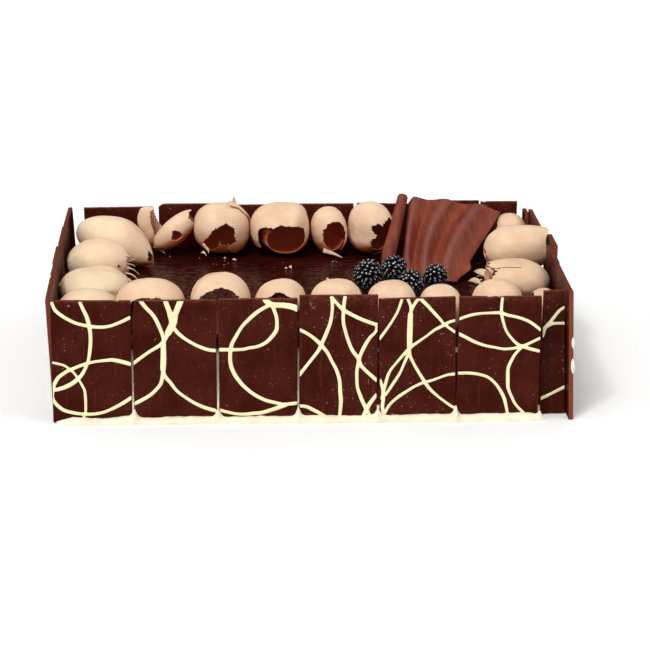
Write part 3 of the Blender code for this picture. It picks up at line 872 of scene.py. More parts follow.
BEADS = {  # the way it faces, its ends along X, and each gap in the panels with the height of its peak
    "front": (-1, -163, 148, [(-113.9, 5.5), (-60.9, 6), (-10, 6), (40.6, 4.8), (90.3, 6.3), (144.4, 6.8)]),
    "back": (1, -156, 155, [(-106.5, 5), (-54.6, 4), (-8.2, 5), (38, 4.5), (87.6, 5), (129.6, 4)]),
}
BEAD_FACE = 115.25  # from the middle of the cake to the face that the bead is on
BEAD_STEP = 0.8
BEAD_ARC = (-14, 105, 8.5)  # first and last angle of its section, and the step between them
BEAD_HEIGHT = 3.9
BEAD_DEPTH = 3.5
BEAD_END = 13  # length over which it rises at either end
BEAD_FOOT = 0.06  # from the floor to its lowest points
BEAD_BEHIND = 0.6  # from its face to its back, further in
GAP_FOOT = 1.5
GAP_TOP = 45.5  # height of what fills the space between two panels
GAP_STEP = 1.1
GAP_LEAST = 0.5 * MM  # width of the narrowest filling, apart from its overlaps
GAP_OVERLAP = 0.25 * MM  # how far it reaches behind each panel's edge
GAP_BULGE = 0.42 * MM
GAP_BACK = 3.1 * MM  # from the panels' face to its back
DARK_GAPS = {"front_4": 11.0, "front_5": 7.0, "front_6": 7.0}  # cream up to there, and above it dark chocolate that stands in for the shade in the gap


def bead_mesh(name, outward, start, end, peaks, seed):
    """A low ridge of squeezed-out cream with a torn peak at each gap."""
    xs = np.arange(start, end, BEAD_STEP)
    place = np.stack([xs, xs * 0], 1)
    high = BEAD_HEIGHT * (1 + 0.16 * wobble(place, 24, seed) + 0.05 * wobble(place, 4, seed + 1))
    deep = BEAD_DEPTH * (1 + 0.2 * wobble(place, 11, seed + 2))
    for at, rise in peaks:
        beside = np.abs(xs - at)
        high += rise * np.exp(-((beside / 1.5) ** 1.4)) + 0.6 * np.exp(-((beside / 5) ** 2))
        deep += 0.5 * np.exp(-((beside / 3) ** 2))
    ends = np.clip(0.18 + np.minimum(xs - start, end - xs) / BEAD_END, 0, 1) ** 0.8
    high, deep = high * ends, deep * ends
    angles = np.radians(np.arange(*BEAD_ARC))
    out = np.outer(deep, np.cos(angles))
    up = np.outer(high, np.clip(np.sin(angles), -0.05, 1))
    points = np.stack([np.broadcast_to(xs[:, None], out.shape), out, up], -1)
    lumps = 1 + 0.06 * wobble(points * (0.6, 2, 2), 5, seed + 3) + 0.03 * wobble(points, 2.4, seed + 4)
    points[..., 1:] *= lumps[..., None]
    points[..., 1] = outward * (BEAD_FACE + np.maximum(points[..., 1], 0))
    points[..., 2] = np.maximum(points[..., 2], BEAD_FOOT)
    back = points[:, [-1, 0]].copy()
    back[..., 1] = outward * (BEAD_FACE - BEAD_BEHIND)
    back[:, 1, 2] = BEAD_FOOT
    return bar_mesh(name, np.concatenate([points, back], 1) * MM, flipped=outward > 0)


def edge_at(face, v, right):
    """Where the face's outline is at height v, at its right or left edge."""
    heights = [point.y for point in face.outline]
    v = min(max(v, min(heights) + MM), max(heights) - MM)
    crossings = []
    for a, b in zip(face.outline, face.outline[1:] + face.outline[:1]):
        if (a.y - v) * (b.y - v) <= 0 and abs(a.y - b.y) > 1e-9:
            crossings.append(a.x + (b.x - a.x) * (v - a.y) / (b.y - a.y))
    return (max if right else min)(crossings)


def gap_mesh(name, first, second, seed, low=GAP_FOOT, high=GAP_TOP):
    """A filling between two panels of a row, deeper in towards its top."""
    heights = np.arange(low, high, GAP_STEP)
    rng = np.random.default_rng(seed)
    face = min(first.distance, second.distance)
    rings = []
    for z in heights * MM:
        left, right = edge_at(first, z, True), edge_at(second, z, False)
        slack = max(0.0, GAP_LEAST - (right - left)) / 2 + GAP_OVERLAP
        left, right = left - slack, right + slack
        deep = MM * (0.5 + 1.9 * smooth_step(z / MM, 6, 34) + 0.5 * rng.random())
        section = []
        for share in (0, 0.25, 0.5, 0.75, 1):
            out = GAP_BULGE * (1 - (2 * share - 1) ** 2) + 0.15 * MM * rng.random() - deep
            section.append((share, out))
        section += [(1, -GAP_BACK), (0, -GAP_BACK)]
        places = [(left + (right - left) * share, face + out) for share, out in section]
        rings.append([first.along * along + first.out * out for along, out in places])
    rings = np.array(rings)
    rings[..., 2] = heights[:, None] * MM
    return bar_mesh(name, rings)


SMEARED = [  # thin smears of cream on broken edges: start, end and width
    ((163.0, -117.6, 55.8), (163.5, -117.6, 48.2), 2.2),
    ((163.4, -117.6, 41.6), (164.1, -117.6, 31.2), 2.5),
]


def make_cream(faces, finish, shade_fill):
    strips = [splinter(start, end, (0, 0, 0), width, thickness=0.6, tips=2) for start, end, width in SMEARED]
    add_piece("cream_smears", joined_mesh("cream_smears", strips), finish, "cream")
    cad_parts["cake_body"].data.materials.clear()
    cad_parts["cake_body"].data.materials.append(finish)
    for seed, (side, bead) in enumerate(BEADS.items()):
        name = f"cream_ridge_{side}"
        add_piece(name, bead_mesh(name, *bead, seed), finish, "cream", f"cream_bead_{side}")
    for side in FACING:
        row = [faces[node] for node in sorted(faces) if node.split("_")[1] == side]
        for i, (first, second) in enumerate(zip(row, row[1:]), 1):
            name = f"gap_cream_{side}_{i}"
            split = DARK_GAPS.get(f"{side}_{i}", GAP_TOP)
            add_piece(name, gap_mesh(name, first, second, i, high=split), finish, "cream")
            # Above split the gap is filled with dark chocolate, as painted shade.
            if split < GAP_TOP:
                name = f"gap_shade_fill_{side}_{i}"
                add_piece(name, gap_mesh(name, first, second, 20 + i, low=split), shade_fill, "dark_chocolate")


# ---- Glaze ----

GLAZE_STEP = (2.6, 1.2)
GLAZE_LOW = 47.8
GLAZE_TOP = 50.0
GLAZE_STREAKS = 0.09  # their height, and that of the low swells
GLAZE_SWELLS = 0.10
GLAZE_MOST = 0.26  # above its top
GLAZE_ROUNDING = (0.8, 1.2)  # how far down and in its edge is rounded
CORNER = (143.4, -101.6)  # the cake's front right corner is stepped in from here


def glaze_mesh(name):
    """The layer over the cake, its top drawn out in low streaks along X."""
    low, high = (np.array(corner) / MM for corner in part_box("glaze"))
    corner_x, corner_y = CORNER
    xs = np.linspace(low[0], high[0], ceil((high[0] - low[0]) / GLAZE_STEP[0]) + 1)
    ys = np.linspace(low[1], high[1], ceil((high[1] - low[1]) / GLAZE_STEP[1]) + 1)
    x, y = np.meshgrid(xs, ys, indexing="ij")
    place = np.stack([x, y], -1)
    streaks = wobble(place * (0.6, 1), 4.0, 5, 14) + 0.3 * wobble(place * (0.8, 1), 2.2, 6, 14)
    swells = wobble(place, 22, 7)
    edge = np.minimum.reduce([x - low[0], high[0] - x, y - low[1], high[1] - y])
    z = GLAZE_TOP + (GLAZE_STREAKS * streaks + GLAZE_SWELLS * swells) * np.clip(edge / 4, 0, 1)
    down, inward = GLAZE_ROUNDING
    z = np.minimum(z, GLAZE_TOP + GLAZE_MOST) - down * (1 - np.clip(edge / inward, 0, 1)) ** 2
    keep = ~((x[:-1, :-1] >= corner_x) & (y[:-1, :-1] < corner_y))
    grid = np.stack([x, y, z], -1) * MM
    return joined_mesh(name, [shell_part(grid, (z - GLAZE_LOW) * MM, keep, clockwise=True)])


def make_glaze(finish):
    add_piece("glaze_layer", glaze_mesh("glaze_layer"), finish, "glaze", "glaze")


# ---- Curls ----

RESTING = 50.3
SHUT_END = 0.985
CURL_STEP = 2.0  # how far the sheet closes in over a turn
CURL_TURNS = 1.1
CURL_WALL = 1.1
THIN_EDGE = 0.35
EDGE_BAND = 5  # from the torn edge to where the wall has its full thickness
SHADE_FROM, SHADE_TO = 1.0, 12  # from the mouth to where the painted shade inside it is full
CURL_GRID = (34, 100)
FINE_GRID = (44, 140)

# Each curl's middle (x, y), (length, width, height) and the way its mouth points, as in the packed
# model or within about 2 mm of it, and then what sets its surface apart. rise is how steeply its mouth
# points up, and up how high its middle is. seam is the angle of the sheet's outer edge, which makes so
# many turns, clockwise or not, its inner end tucked further in by tuck. mouth and shut say how narrow
# the two ends are, slim how the mouth's narrows, droop how far it hangs, and full how square the
# section is. edge moves the mouth's edge and bulges the whole section: (angle, half width in degrees,
# mm outwards). holes are torn through the sheet: (place from -1 at the shut end to 1 at the mouth,
# angle, half length, half width in degrees). ragged and teeth are the depths of the mouth's coarse and
# fine tears, frayed that of the shut end's, and dents and wrinkles those of its unevenness. fine gives
# it a finer grid, and under_shade is how much painted orange-brown shade its underside has.
CURLS = {
    "curl_back_1": ((-111.8, 102.5), (14, 13, 32), -6, dict(
        rise=16, mouth=0.4, up=17.2, seam=120, full=2.0, edge=[(180, 80, -3), (-50, 60, 5),
        (90, 40, 1)], teeth=1.0, fine=True)),
    "curl_back_2": ((-93.6, 91), (34, 18.5, 18), 6, dict(
        rise=40, mouth=0.7, up=15.8, seam=-30, full=2.0, edge=[(90, 60, 4), (-90, 70, -3)],
        teeth=1.4, holes=[(0.06, 182, 0.24, 27)], fine=True)),
    "curl_back_3": ((-59.6, 92.5), (34, 40.6, 37.5), -92, dict(
        mouth=0.84, rise=-7, up=19, seam=-60, turns=1.05, edge=[(140, 75, 1.8), (-135, 45, -2.0),
        (-92, 34, 2.6), (-62, 26, 1.6), (-38, 18, 2.2)], teeth=0.9, fine=True)),
    "curl_back_4": ((-16.7, 92.5), (34, 42, 37.5), -88, dict(
        mouth=0.62, rise=-4, up=19, seam=213, turns=1.17, clockwise=True, tuck=5.5,
        edge=[(58, 50, 7.0), (122, 50, 7.0), (90, 34, 2.6), (-60, 50, 1.5), (-100, 25, -2)],
        bulges=[(50, 28, 1.6)], ragged=0.3, teeth=1.0, fine=True)),
    "curl_back_5": ((17.6, 93), (32, 26, 33.5), -76, dict(
        mouth=0.78, seam=-60, full=2.1, edge=[(180, 50, -1)], ragged=1.0, teeth=1.0, fine=True)),
    "curl_back_6": ((47, 93.5), (33, 31, 37), -62, dict(
        mouth=0.7, rise=-3, up=18.9, ragged=1.4, teeth=1.6, edge=[(90, 60, 5), (180, 70, 4)],
        bulges=[(215, 40, 1.5)], fine=True)),
    "curl_left_1": ((-134.5, 70), (60, 37, 32.5), -27, dict(
        rise=-9, mouth=0.93, up=16.6, full=2.1, edge=[(-90, 60, 3), (100, 60, -2)], teeth=0.6,
        droop=6, slim=0.8, fine=True)),
    "curl_left_2": ((-144, 21), (41, 43, 30.5), 6, dict(
        mouth=0.82, up=15.4, ragged=1.6, teeth=2.2, edge=[(40, 60, -4), (190, 50, 1)],
        holes=[(0.66, 172, 0.05, 6), (0.86, 190, 0.05, 5)], fine=True)),
    "curl_left_3": ((-143, -32.5), (46, 44, 26.6), -3, dict(
        mouth=0.93, dents=1.0, wrinkles=1.0, fine=True)),
    "curl_left_4": ((-144.6, -83), (37, 38, 28), 4, dict(mouth=0.8)),
    "curl_front_1": ((-103.8, -91), (36, 44.5, 38), -90, dict(mouth=0.76, edge=[(90, 60, 0.5)])),
    "curl_front_2": ((-59.4, -91), (36, 38.5, 41), -90, dict(
        mouth=0.66, shut=0.72, ragged=0.7, teeth=1.2, frayed=1.4, edge=[(90, 60, -1)], fine=True)),
    "curl_front_3": ((-21, -91.5), (35, 34, 37), -92, dict(mouth=0.72, teeth=1.0, edge=[(90, 60, -2)])),
    "curl_front_4": ((14.3, -91.5), (35, 34, 37), -88, dict(mouth=0.85)),
    "curl_front_5": ((49.2, -91.5), (34, 32.5, 36), -90, dict(mouth=0.85)),
    "curl_front_6": ((80.8, -91.5), (34, 28.5, 32.5), -90, dict(mouth=0.85)),
    "curl_front_7": ((117.5, -89), (36, 34, 35), -92, dict(mouth=0.85)),
    "curl_right_1": ((143.8, 36.6), (39.5, 40, 32.5), 10, dict(
        rise=4, mouth=0.5, up=18.4, full=2.1, edge=[(95, 60, 6.5), (-60, 90, -12)], under_shade=0.4)),
    "curl_right_2": ((141.4, -20), (41, 40, 26.5), 188, dict(
        rise=6, mouth=0.62, up=14.2, full=2.0, ragged=1.6, teeth=1.8, edge=[(75, 30, 2),
        (10, 50, 2)], holes=[(0.75, 55, 0.6, 2.2)], fine=True, under_shade=0.25)),
    "curl_right_3": ((151.2, -76), (17, 24, 24.5), 180, dict(mouth=0.6)),
    "curl_right_4": ((149.6, 89.5), (23, 27, 28.5), 180, dict(rise=6, mouth=0.75, up=15)),
}


def curl_shell(middle, size, heading, seed, *, mouth, rise=0, up=None, seam=-90, turns=CURL_TURNS,
               clockwise=False, shut=SHUT_END, tuck=0, full=2.35, ragged=0.6, teeth=0.5, frayed=0.0,
               dents=0.5, wrinkles=0.0, edge=(), bulges=(), holes=(), fine=False, droop=0, slim=0.5,
               under_shade=1.0):
    """A thin sheet rolled around its own +X into a hollow barrel, torn along its mouth at +X."""
    length, width, height = size
    rows, columns = FINE_GRID if fine else CURL_GRID
    share = np.linspace(0, 1, rows)[:, None] ** 0.9  # from the shut end to the mouth
    turn = np.linspace(0, 1, columns)[None, :]  # from the outer edge of the sheet to the inner
    degrees = seam + (-1 if clockwise else 1) * 360 * turns * turn
    angle = np.radians(degrees)
    around = np.stack([np.cos(angle[0]), np.sin(angle[0])], 1) * width / 2
    rng = np.random.default_rng(seed)
    reach = ragged * (0.7 * wobble(around, 9, seed) + 0.5 * wobble(around, 3.5, seed + 1))
    reach = reach - teeth * rng.random(columns) ** 2.5
    for centre, half, outward in edge:
        reach = reach + outward * near_angle(degrees[0], centre, half)
    back = frayed * rng.random(columns) ** 1.5
    s = 2 * share - 1 + (reach * share**3 + back * (1 - share) ** 4) * 2 / length
    taper = np.clip(1 - (np.where(s < 0, shut, mouth) * s) ** 2, 0.03, 1) ** np.where(s < 0, 0.5, slim)
    section = (np.abs(np.cos(angle)) ** full + np.abs(np.sin(angle)) ** full) ** (-1 / full)
    swell = sum(outward * near_angle(degrees, centre, half) for centre, half, outward in bulges)
    inward = CURL_STEP * turns * (turn - 0.35) + tuck * smooth_step(turn, 1 - 0.45 / turns, 1) - swell
    x = length / 2 * s
    y = (width / 2 * taper * section - inward) * np.cos(angle)
    z = (height / 2 * taper * section - inward) * np.sin(angle)
    points = np.stack(np.broadcast_arrays(x, y, z), -1)
    soft = dents * wobble(points, 17, seed + 2) + 0.12 * wobble(points * (1, 2, 2), 6, seed + 3)
    if wrinkles:
        warp = degrees / 7.5 + 2.2 * wobble(points, 15, seed + 4)
        deep = wrinkles * (0.6 + 0.4 * wobble(points, 9, seed + 5))
        soft = soft + deep * smooth_step(s, -0.3, 0.7) * np.sin(warp)
    points[..., 1:] *= (1 + soft / (width / 2))[..., None]
    from_edge = (1 - share) * length
    full_wall = smooth_step(from_edge, 0, EDGE_BAND) * smooth_step(turn, 0, 0.05)
    wall = THIN_EDGE + (CURL_WALL - THIN_EDGE) * full_wall
    keep = np.ones((rows - 1, columns - 1), bool)
    torn = 1 + 0.3 * wobble(points, 3, seed + 6)[:-1, :-1]
    covered = turn > 1 / turns + 0.01
    for place, centre, long, wide in holes:
        beside = ((degrees - centre + 180) % 360 - 180)[:, :-1]
        keep &= ((s[:-1, :-1] - place) / long) ** 2 + (beside / wide) ** 2 > torn
    points[..., 2] -= droop * np.clip(s, 0, None) ** 2
    # Painted shade inside the roll: none at the mouth's edge, full deep inside and where another turn covers
    # the sheet.
    depth = np.maximum(smooth_step(from_edge, SHADE_FROM, SHADE_TO), covered)
    points = turned(points, heading, rise) + [*middle, RESTING + (height / 2 if up is None else up)]
    points[..., 2] = np.maximum(points[..., 2], RESTING)
    *shape, under = shell_part(points * MM, wall * MM, keep, clockwise, depth, covered)
    return *shape, under * under_shade


SLEEVE_BACK = 13.5  # where the wrap starts, behind the curl's middle
SLEEVE_GRID = (30, 90)


def sleeve_shell():
    """The outer wrap that stands off the third curl of the back row, its torn edge facing forwards."""
    middle, (length, width, height), heading, more = CURLS["curl_back_3"]
    share, turn = np.meshgrid(*(np.linspace(0, 1, count) for count in SLEEVE_GRID), indexing="ij")
    degrees = -58 + 132 * turn
    angle = np.radians(degrees)
    front = 2 + 5 * smooth_step(degrees, 10, 60) - 4 * near_angle(degrees, -30, 30)
    front = front + 0.9 * wobble(degrees[0][:, None] / 3, 4, 3)
    front = front - 0.9 * np.random.default_rng(5).random(SLEEVE_GRID[1]) ** 2
    x = -SLEEVE_BACK + (SLEEVE_BACK + front) * share
    taper = 1.02 * np.sqrt(1 - (0.8 * x / (length / 2)) ** 2)
    stand_off = 1.0 + 1.3 * smooth_step(share, 0.4, 1) * smooth_step(turn, 0.2, 0.9)
    y = (width / 2 * taper + stand_off) * np.cos(angle)
    z = (height / 2 * taper + stand_off) * np.sin(angle)
    points = turned(np.stack([x, y, z], -1), heading) + [*middle, RESTING + more["up"]]
    points[..., 2] = np.maximum(points[..., 2], RESTING)
    wall = THIN_EDGE + 0.5 * smooth_step(1 - share, 0, 0.2)
    return shell_part(points * MM, wall * MM)


# Strips torn loose from the curls: start, end, how far each bends on its way, and its width
SPLINTERS = {
    "curl_left_2": [
        ((-126.0, 12, 63), (-115.0, 7.0, 61.0), (0, 0, 2.4), 1.02),
        ((-126.0, 10, 61), (-114.6, 4.0, 55.0), (1.5, 0, 2.2), 1.09),
        ((-127.0, 8, 59), (-117.5, 0.0, 50.8), (2.2, 0, 1.8), 1.63),
        ((-128.0, 16, 69), (-120.5, 14.5, 72.0), (0, 0, 0.8), 0.95),
        ((-127.0, 15, 67), (-117.4, 13.0, 70.6), (0, 0, -0.6), 1.09),
        ((-128.0, 13, 65), (-117.6, 11.0, 65.6), (0, 0, 1.6), 1.09),
        ((-130.5, 18, 74), (-124.5, 17.0, 76.0), (0, 0, -0.9), 0.95),
        ((-129.5, 14, 71), (-121.4, 11.0, 72.4), (0, 0, 1.2), 0.95),
        ((-127.0, 6, 62), (-121.0, -2.0, 53.0), (1.6, 0, 1.4), 1.36),
    ],
    "curl_left_3": [((-120.5, -40, 64), (-117.0, -46.0, 58.0), (0.6, 0, 1), 2.6)],
    "curl_back_3": [
        ((-49.5, 93, 85.5), (-49.9, 92.0, 92.6), (-0.6, 0, 0), 4.0),
        ((-72.5, 76, 62), (-70.0, 75.0, 58.0), (0, 0, 1), 2.2),
        ((-71.0, 76, 60), (-68.5, 75.0, 55.5), (1, 0, 0), 2.0),
        ((-73.5, 76, 56), (-70.0, 74.0, 54.0), (0, 0, 1), 2.0),
    ],
    "curl_back_1": [
        ((-106.5, 93, 59), (-99.0, 90.0, 57.5), (0, 0, 1.2), 3.0),
        ((-108.0, 92, 56), (-101.0, 89.0, 54.0), (0, 0, 1.0), 3.2),
        ((-105.0, 92, 63), (-100.5, 90.0, 58.0), (0, 0, -1.0), 2.4),
        ((-106.0, 92, 55), (-100.0, 88.0, 51.5), (0, 0, 0.6), 3.4),
    ],
    "curl_back_5": [((13.5, 77, 56.5), (27.0, 75.5, 51.4), (0, 0, 0.4), 3.4)],
    "curl_front_4": [((9.6, -93, 86.0), (8.6, -93.0, 88.6), (0, 0, 0), 2.8)],
    "curl_right_2": [
        ((122.0, -30, 66), (118.8, -33.0, 71.5), (0, 0, 0), 2.4),
        ((122.5, -29, 72), (118.0, -27.0, 74.0), (0, 0, 0.6), 3.4),
        ((123.0, -31, 62), (118.5, -32.0, 65.0), (0, 0, 0.6), 3.0),
    ],
}


def make_curls(finish):
    for i, (node, (middle, size, heading, more)) in enumerate(CURLS.items()):
        name = node.replace("curl", "shaving")
        parts = [curl_shell(middle, size, heading, 10 * i, **more)]
        if node == "curl_back_3":
            parts.append(sleeve_shell())
        parts += [splinter(*strip) for strip in SPLINTERS.get(node, [])]
        add_piece(name, joined_mesh(name, parts), finish, "caramel_chocolate", node)


# ---- Shards and crumbs on the glaze ----

# Start, end, how far each bends on its way, width, and how many of its ends are pointed
SHARDS = [
    ((117.5, 33.7, 53.5), (126.5, 12.0, 55.5), (0, 0, 1.4), 5.0, 2),
    ((119.5, 31.0, 51.6), (128.5, 20.0, 50.9), (0, 0, 1.0), 3.0, 1),
    ((111.9, 19.1, 50.9), (119.8, 9.6, 51.2), (0, 0, 1.8), 3.6, 2),
    ((116.0, 13.5, 51.0), (120.6, 12.0, 54.2), (0, 0, 0.4), 2.2, 1),
    ((138.0, 6.5, 66.0), (142.0, 5.0, 69.5), (0, 0, 0.5), 2.6, 1),
    ((136.0, 6.5, 66.5), (137.5, 5.0, 70.5), (0, 0, 0.3), 2.2, 1),
    ((-57.8, 78.6, 50.7), (-56.0, 78.2, 50.7), (0, 0, 0.3), 1.2, 2),
    ((-51.6, 74.4, 50.8), (-48.6, 73.2, 50.6), (0, 0, 0.5), 1.4, 2),
    ((-14.6, 53.0, 50.7), (-12.8, 52.8, 50.7), (0, 0, 0.3), 1.2, 2),
    ((-11.3, 53.6, 51.9), (-9.8, 52.0, 50.5), (0, 0, 0.6), 2.4, 1),
]
CRUMBS = 22
CRUMB_SIZE = (0.2, 0.5)
CRUMB_SPOTS = [(-72, 70), (-60, 68), (-98, 84), (24, 72), (-112, 2), (122, 14), (118, -12), (-20, 66)]
CRUMB_SPREAD = 5


def crumb_parts():
    """A few tiny lumps, most of them under the torn ends of the curls."""
    rng = np.random.default_rng(91)
    core, core_faces = ball(1.0, 1)
    parts = []
    for k in range(CRUMBS):
        size = rng.uniform(*CRUMB_SIZE) * np.array([1, 1, 0.7])
        lump = core * size * rng.uniform(0.75, 1.25, (len(core), 1))
        x, y = np.array(CRUMB_SPOTS[k % len(CRUMB_SPOTS)]) + rng.normal(0, CRUMB_SPREAD, 2)
        lump += (x, y, GLAZE_TOP + 0.15 + size[2] * 0.8)
        empty = np.zeros(len(core))
        parts.append((lump * MM, core_faces, empty, empty, empty))
    return parts


def make_crumbs(finish):
    strips = [splinter(start, end, sag, width, tips=tips) for start, end, sag, width, tips in SHARDS]
    add_piece("shards", joined_mesh("shards", strips), finish, "caramel_chocolate")
    add_piece("crumbs", joined_mesh("crumbs", crumb_parts()), finish, "caramel_chocolate")


# ---- Fan and its roll ----

FAN_FOOT = [(66.5, 38), (75, 31), (85, 23), (94, 17.5), (103, 14)]
FAN_TOP = [(76.5, 107), (92, 107), (110, 102.5), (128, 99), (142, 91)]
FAN_PLEATS = 3.0
PLEAT_AT_FOOT = 0.4
PLEAT_AT_TOP = 1.0
PLEAT_SWELL = 2.7
FAN_LOW = RESTING + 1.9
FAN_HIGH = 87.0
FAN_DROP = 6
FAN_SLOPE = atan2(FAN_HIGH - RESTING, 85)
FAN_THICKNESS = 1.6
FAN_EDGE = 0.5  # its thickness at its edges
FAN_FLARE = 4.0  # how far a fold sticks out of its right edge, near the foot
FAN_BOW = 5.0  # how far its folds bend towards the roll
ROLL = [
    (55.2, 37, 53.4, 0.42),
    (57.6, 47, 58.8, 0.98),
    (62.6, 68, 68.8, 0.96),
    (67.6, 88, 79.0, 0.84),
    (72.0, 106.5, 87.6, 0.72),
]
ROLL_RADIUS = 4.5
ROLL_TURNS = 1.7
ROLL_WALL = 0.8
ROLL_GRID = (64, 84)  # along the roll and around it
FAN_GRID = (170, 60)  # along its foot and up
FAN_SIZE = 80  # about its width and its height


def along_points(points, shares):
    """Points at shares of the way along a smooth line through points, as an array."""
    points = np.array(points, float)
    place = np.asarray(shares) * (len(points) - 1)
    i = np.minimum(place.astype(int), len(points) - 2)
    t = (place - i)[..., None]
    a, b = points[np.maximum(i - 1, 0)], points[i]
    c, d = points[i + 1], points[np.minimum(i + 2, len(points) - 1)]
    return spline(a, b, c, d, t)


def fan_mesh(name):
    """A sheet gathered at its foot: soft folds that are deepest halfway up and lean to the left."""
    across, upward = np.meshgrid(*(np.linspace(0, 1, count) for count in FAN_GRID), indexing="ij")
    foot, top = along_points(FAN_FOOT, across), along_points(FAN_TOP, across)
    plan = foot + (top - foot) * upward[..., None]
    plan[..., 0] -= FAN_BOW * 16 * across * (1 - across) * upward * (1 - upward)
    plan[..., 0] += FAN_FLARE * smooth_step(across, 0.86, 1) * near_value(upward, 0.17, 0.13)
    grid = np.stack([across, upward], -1) * FAN_SIZE
    fold = 2 * pi * (FAN_PLEATS * across + 0.10 * wobble(grid * (1, 0.5), 40, 61))
    crest = np.sin(fold) * (1 + 0.3 * wobble(grid[:, :1], 26, 62))
    crest = crest * (1.1 - 0.5 * smooth_step(across, 0.6, 0.95))
    pleat = PLEAT_AT_FOOT + (PLEAT_AT_TOP - PLEAT_AT_FOOT) * upward + PLEAT_SWELL * np.sin(pi * upward)
    depth = pleat * crest + 0.2 * wobble(grid * (1, 0.3), 7, 63) * upward
    depth = depth + 0.06 * wobble(grid * (1, 0.25), 2.4, 64)
    ripple = 0.35 * wobble(grid[..., :1], 12, 65) * upward**6
    height = FAN_LOW + (FAN_HIGH - FAN_DROP * across**2 - FAN_LOW) * upward + ripple
    height = height - 3.2 * near_value(across, 0.0, 0.09) * upward
    plan[..., 1] -= depth * sin(FAN_SLOPE)
    points = np.concatenate([plan, (height + depth * cos(FAN_SLOPE))[..., None]], -1)
    edge = np.minimum.reduce([across, 1 - across, upward, 1 - upward])
    wall = FAN_EDGE + (FAN_THICKNESS - FAN_EDGE) * smooth_step(edge, 0, 0.05)
    # The folds' crests go to the finish as depth, for its painted sheen and shade.
    return joined_mesh(name, [shell_part(points * MM, wall * MM, clockwise=True, depth=crest)])


def roll_mesh(name):
    """The sheet's left edge, rolled up along its own line into a narrow hollow roll."""
    along = np.linspace(0, 1, ROLL_GRID[0])[:, None]
    turn = np.linspace(0, 1, ROLL_GRID[1])
    track = along_points(ROLL, along[:, 0])
    line, share = track[:, :3], track[:, 3:]
    forward = np.gradient(line, axis=0)
    forward /= np.linalg.norm(forward, axis=1, keepdims=True)
    side = np.cross(forward, (0, 0, 1))
    side /= np.linalg.norm(side, axis=1, keepdims=True)
    over = np.cross(side, forward)
    angle = radians(-20) + 2 * pi * ROLL_TURNS * turn
    lumps = np.stack(np.broadcast_arrays(along * 36, np.cos(angle) * 4, np.sin(angle) * 4), -1)
    radius = ROLL_RADIUS * share * (1 - 0.5 * turn) * (1 + 0.07 * wobble(lumps, 6, 71))
    pinch = smooth_step(along, 0, 0.16)
    across = radius * np.cos(angle) * (0.35 + 0.65 * pinch)
    upward = radius * np.sin(angle) * (0.55 + 0.45 * pinch)
    points = line[:, None] + across[..., None] * side[:, None] + upward[..., None] * over[:, None]
    return joined_mesh(name, [shell_part(points * MM, ROLL_WALL * MM)])


def make_fan(finish):
    add_piece("pleated_sheet", fan_mesh("pleated_sheet"), finish, "milk_chocolate", "fan_sheet")
    add_piece("rolled_edge", roll_mesh("rolled_edge"), finish, "milk_chocolate", "fan_roll")


# ---- Berries ----

# Each berry's width and length in mm, the way its tip points, as heading and rise, and how far along
# X it stands from its solid's middle
BERRIES = {
    "berry_1": (20.0, 24.0, -70, 62, 0.0),
    "berry_2": (17.5, 18.9, 20, 35, -2.0),
    "berry_3": (17.5, 20.0, -50, 15, 0.0),
    "berry_4": (16.3, 18.3, -80, 60, 0.0),
}
DRUPELET = 1.65  # a bead's radius
ROW_SPACING = 1.8  # of its radius, between rows, and next between the beads of a row
BEAD_SPACING = 1.95
TIP_NARROWING = 0.12
CORE_DEPTH = 2.2  # from the berry's surface to its core


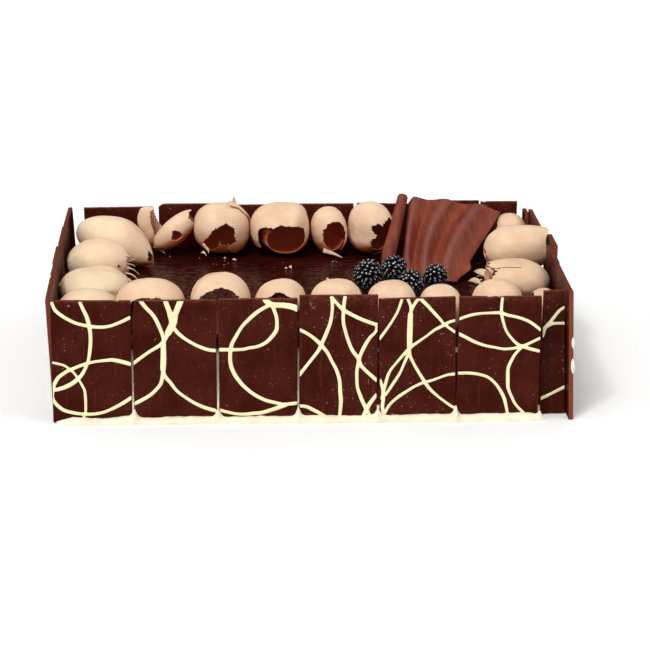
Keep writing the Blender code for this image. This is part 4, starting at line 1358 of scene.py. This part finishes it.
def berry_mesh(name, node, width, length, heading, rise, along, seed):
    """Rows of round drupelets packed over a core, the berry's tip along its own +X."""
    rng = np.random.default_rng(seed)
    core, core_faces = ball(1.0, 3)
    drop, drop_faces = ball(1.0, 2)
    # The top of each drupelet, where its painted highlight is.
    pointed = smooth_step(drop[:, 2], 0.95, 0.999)
    stretch = np.array([length, width, width]) / 2
    parts = [(core * (stretch - CORE_DEPTH), core_faces, np.zeros(len(core)))]
    rows = round(pi * length / 2 / (DRUPELET * ROW_SPACING))
    for row in range(rows + 1):
        polar = pi * row / rows
        ring = sin(polar) * width / 2 - DRUPELET * 0.55
        count = max(1, round(2 * pi * max(ring, 0.2) / (DRUPELET * BEAD_SPACING)))
        for k in range(count):
            turn = 2 * pi * (k + 0.5 * (row % 2)) / count + rng.normal(0, 0.06)
            tilt = polar + rng.normal(0, 0.05)
            out = Vector((cos(tilt), sin(tilt) * cos(turn), sin(tilt) * sin(turn)))
            radius = DRUPELET * rng.uniform(0.88, 1.1)
            narrow = 1 - TIP_NARROWING * max(0.0, out.x) ** 2
            centre = np.array(out) * (stretch - radius * 0.95) * (1, narrow, narrow)
            upright = out.to_track_quat("Z", "Y").to_matrix()
            bead = drop * radius * (1.0, 1.0, 1.1) * (1 + 0.02 * rng.normal(size=3))
            parts.append((bead @ np.array(upright).T + centre, drop_faces, pointed))
    parts = [(turned(points, heading, rise), faces, tips) for points, faces, tips in parts]
    low, high = (np.array(corner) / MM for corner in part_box(node))
    centre = (low + high) / 2 + (along, 0, 0)
    centre[2] = low[2] - min(points[:, 2].min() for points, _, _ in parts)
    parts = [((points + centre) * MM, faces, tips) for points, faces, tips in parts]
    return joined_mesh(name, parts, keys=("tip",))


def make_berries(finish):
    for i, (node, sizes) in enumerate(BERRIES.items()):
        name = node.replace("berry", "fruit")
        add_piece(name, berry_mesh(name, node, *sizes, 80 + i), finish, "dark_fruit", node, smooth=180)


def main():
    make_camera()
    make_sky()
    make_suns()
    make_floor()
    bpy.context.scene.view_settings.view_transform = "Standard"
    long_sides = dark_chocolate("dark_chocolate_long", "X")
    # The short sides' edges get more painted light.
    short_sides = dark_chocolate("dark_chocolate_side", "Y", 1.3)
    faces = make_panels(long_sides, short_sides)
    make_lines(faces, white_chocolate())
    make_cream(faces, cream(), long_sides)
    make_glaze(glaze())
    caramel = caramel_chocolate()
    make_curls(caramel)
    make_crumbs(caramel)
    make_fan(milk_chocolate())
    make_berries(dark_fruit())


main()
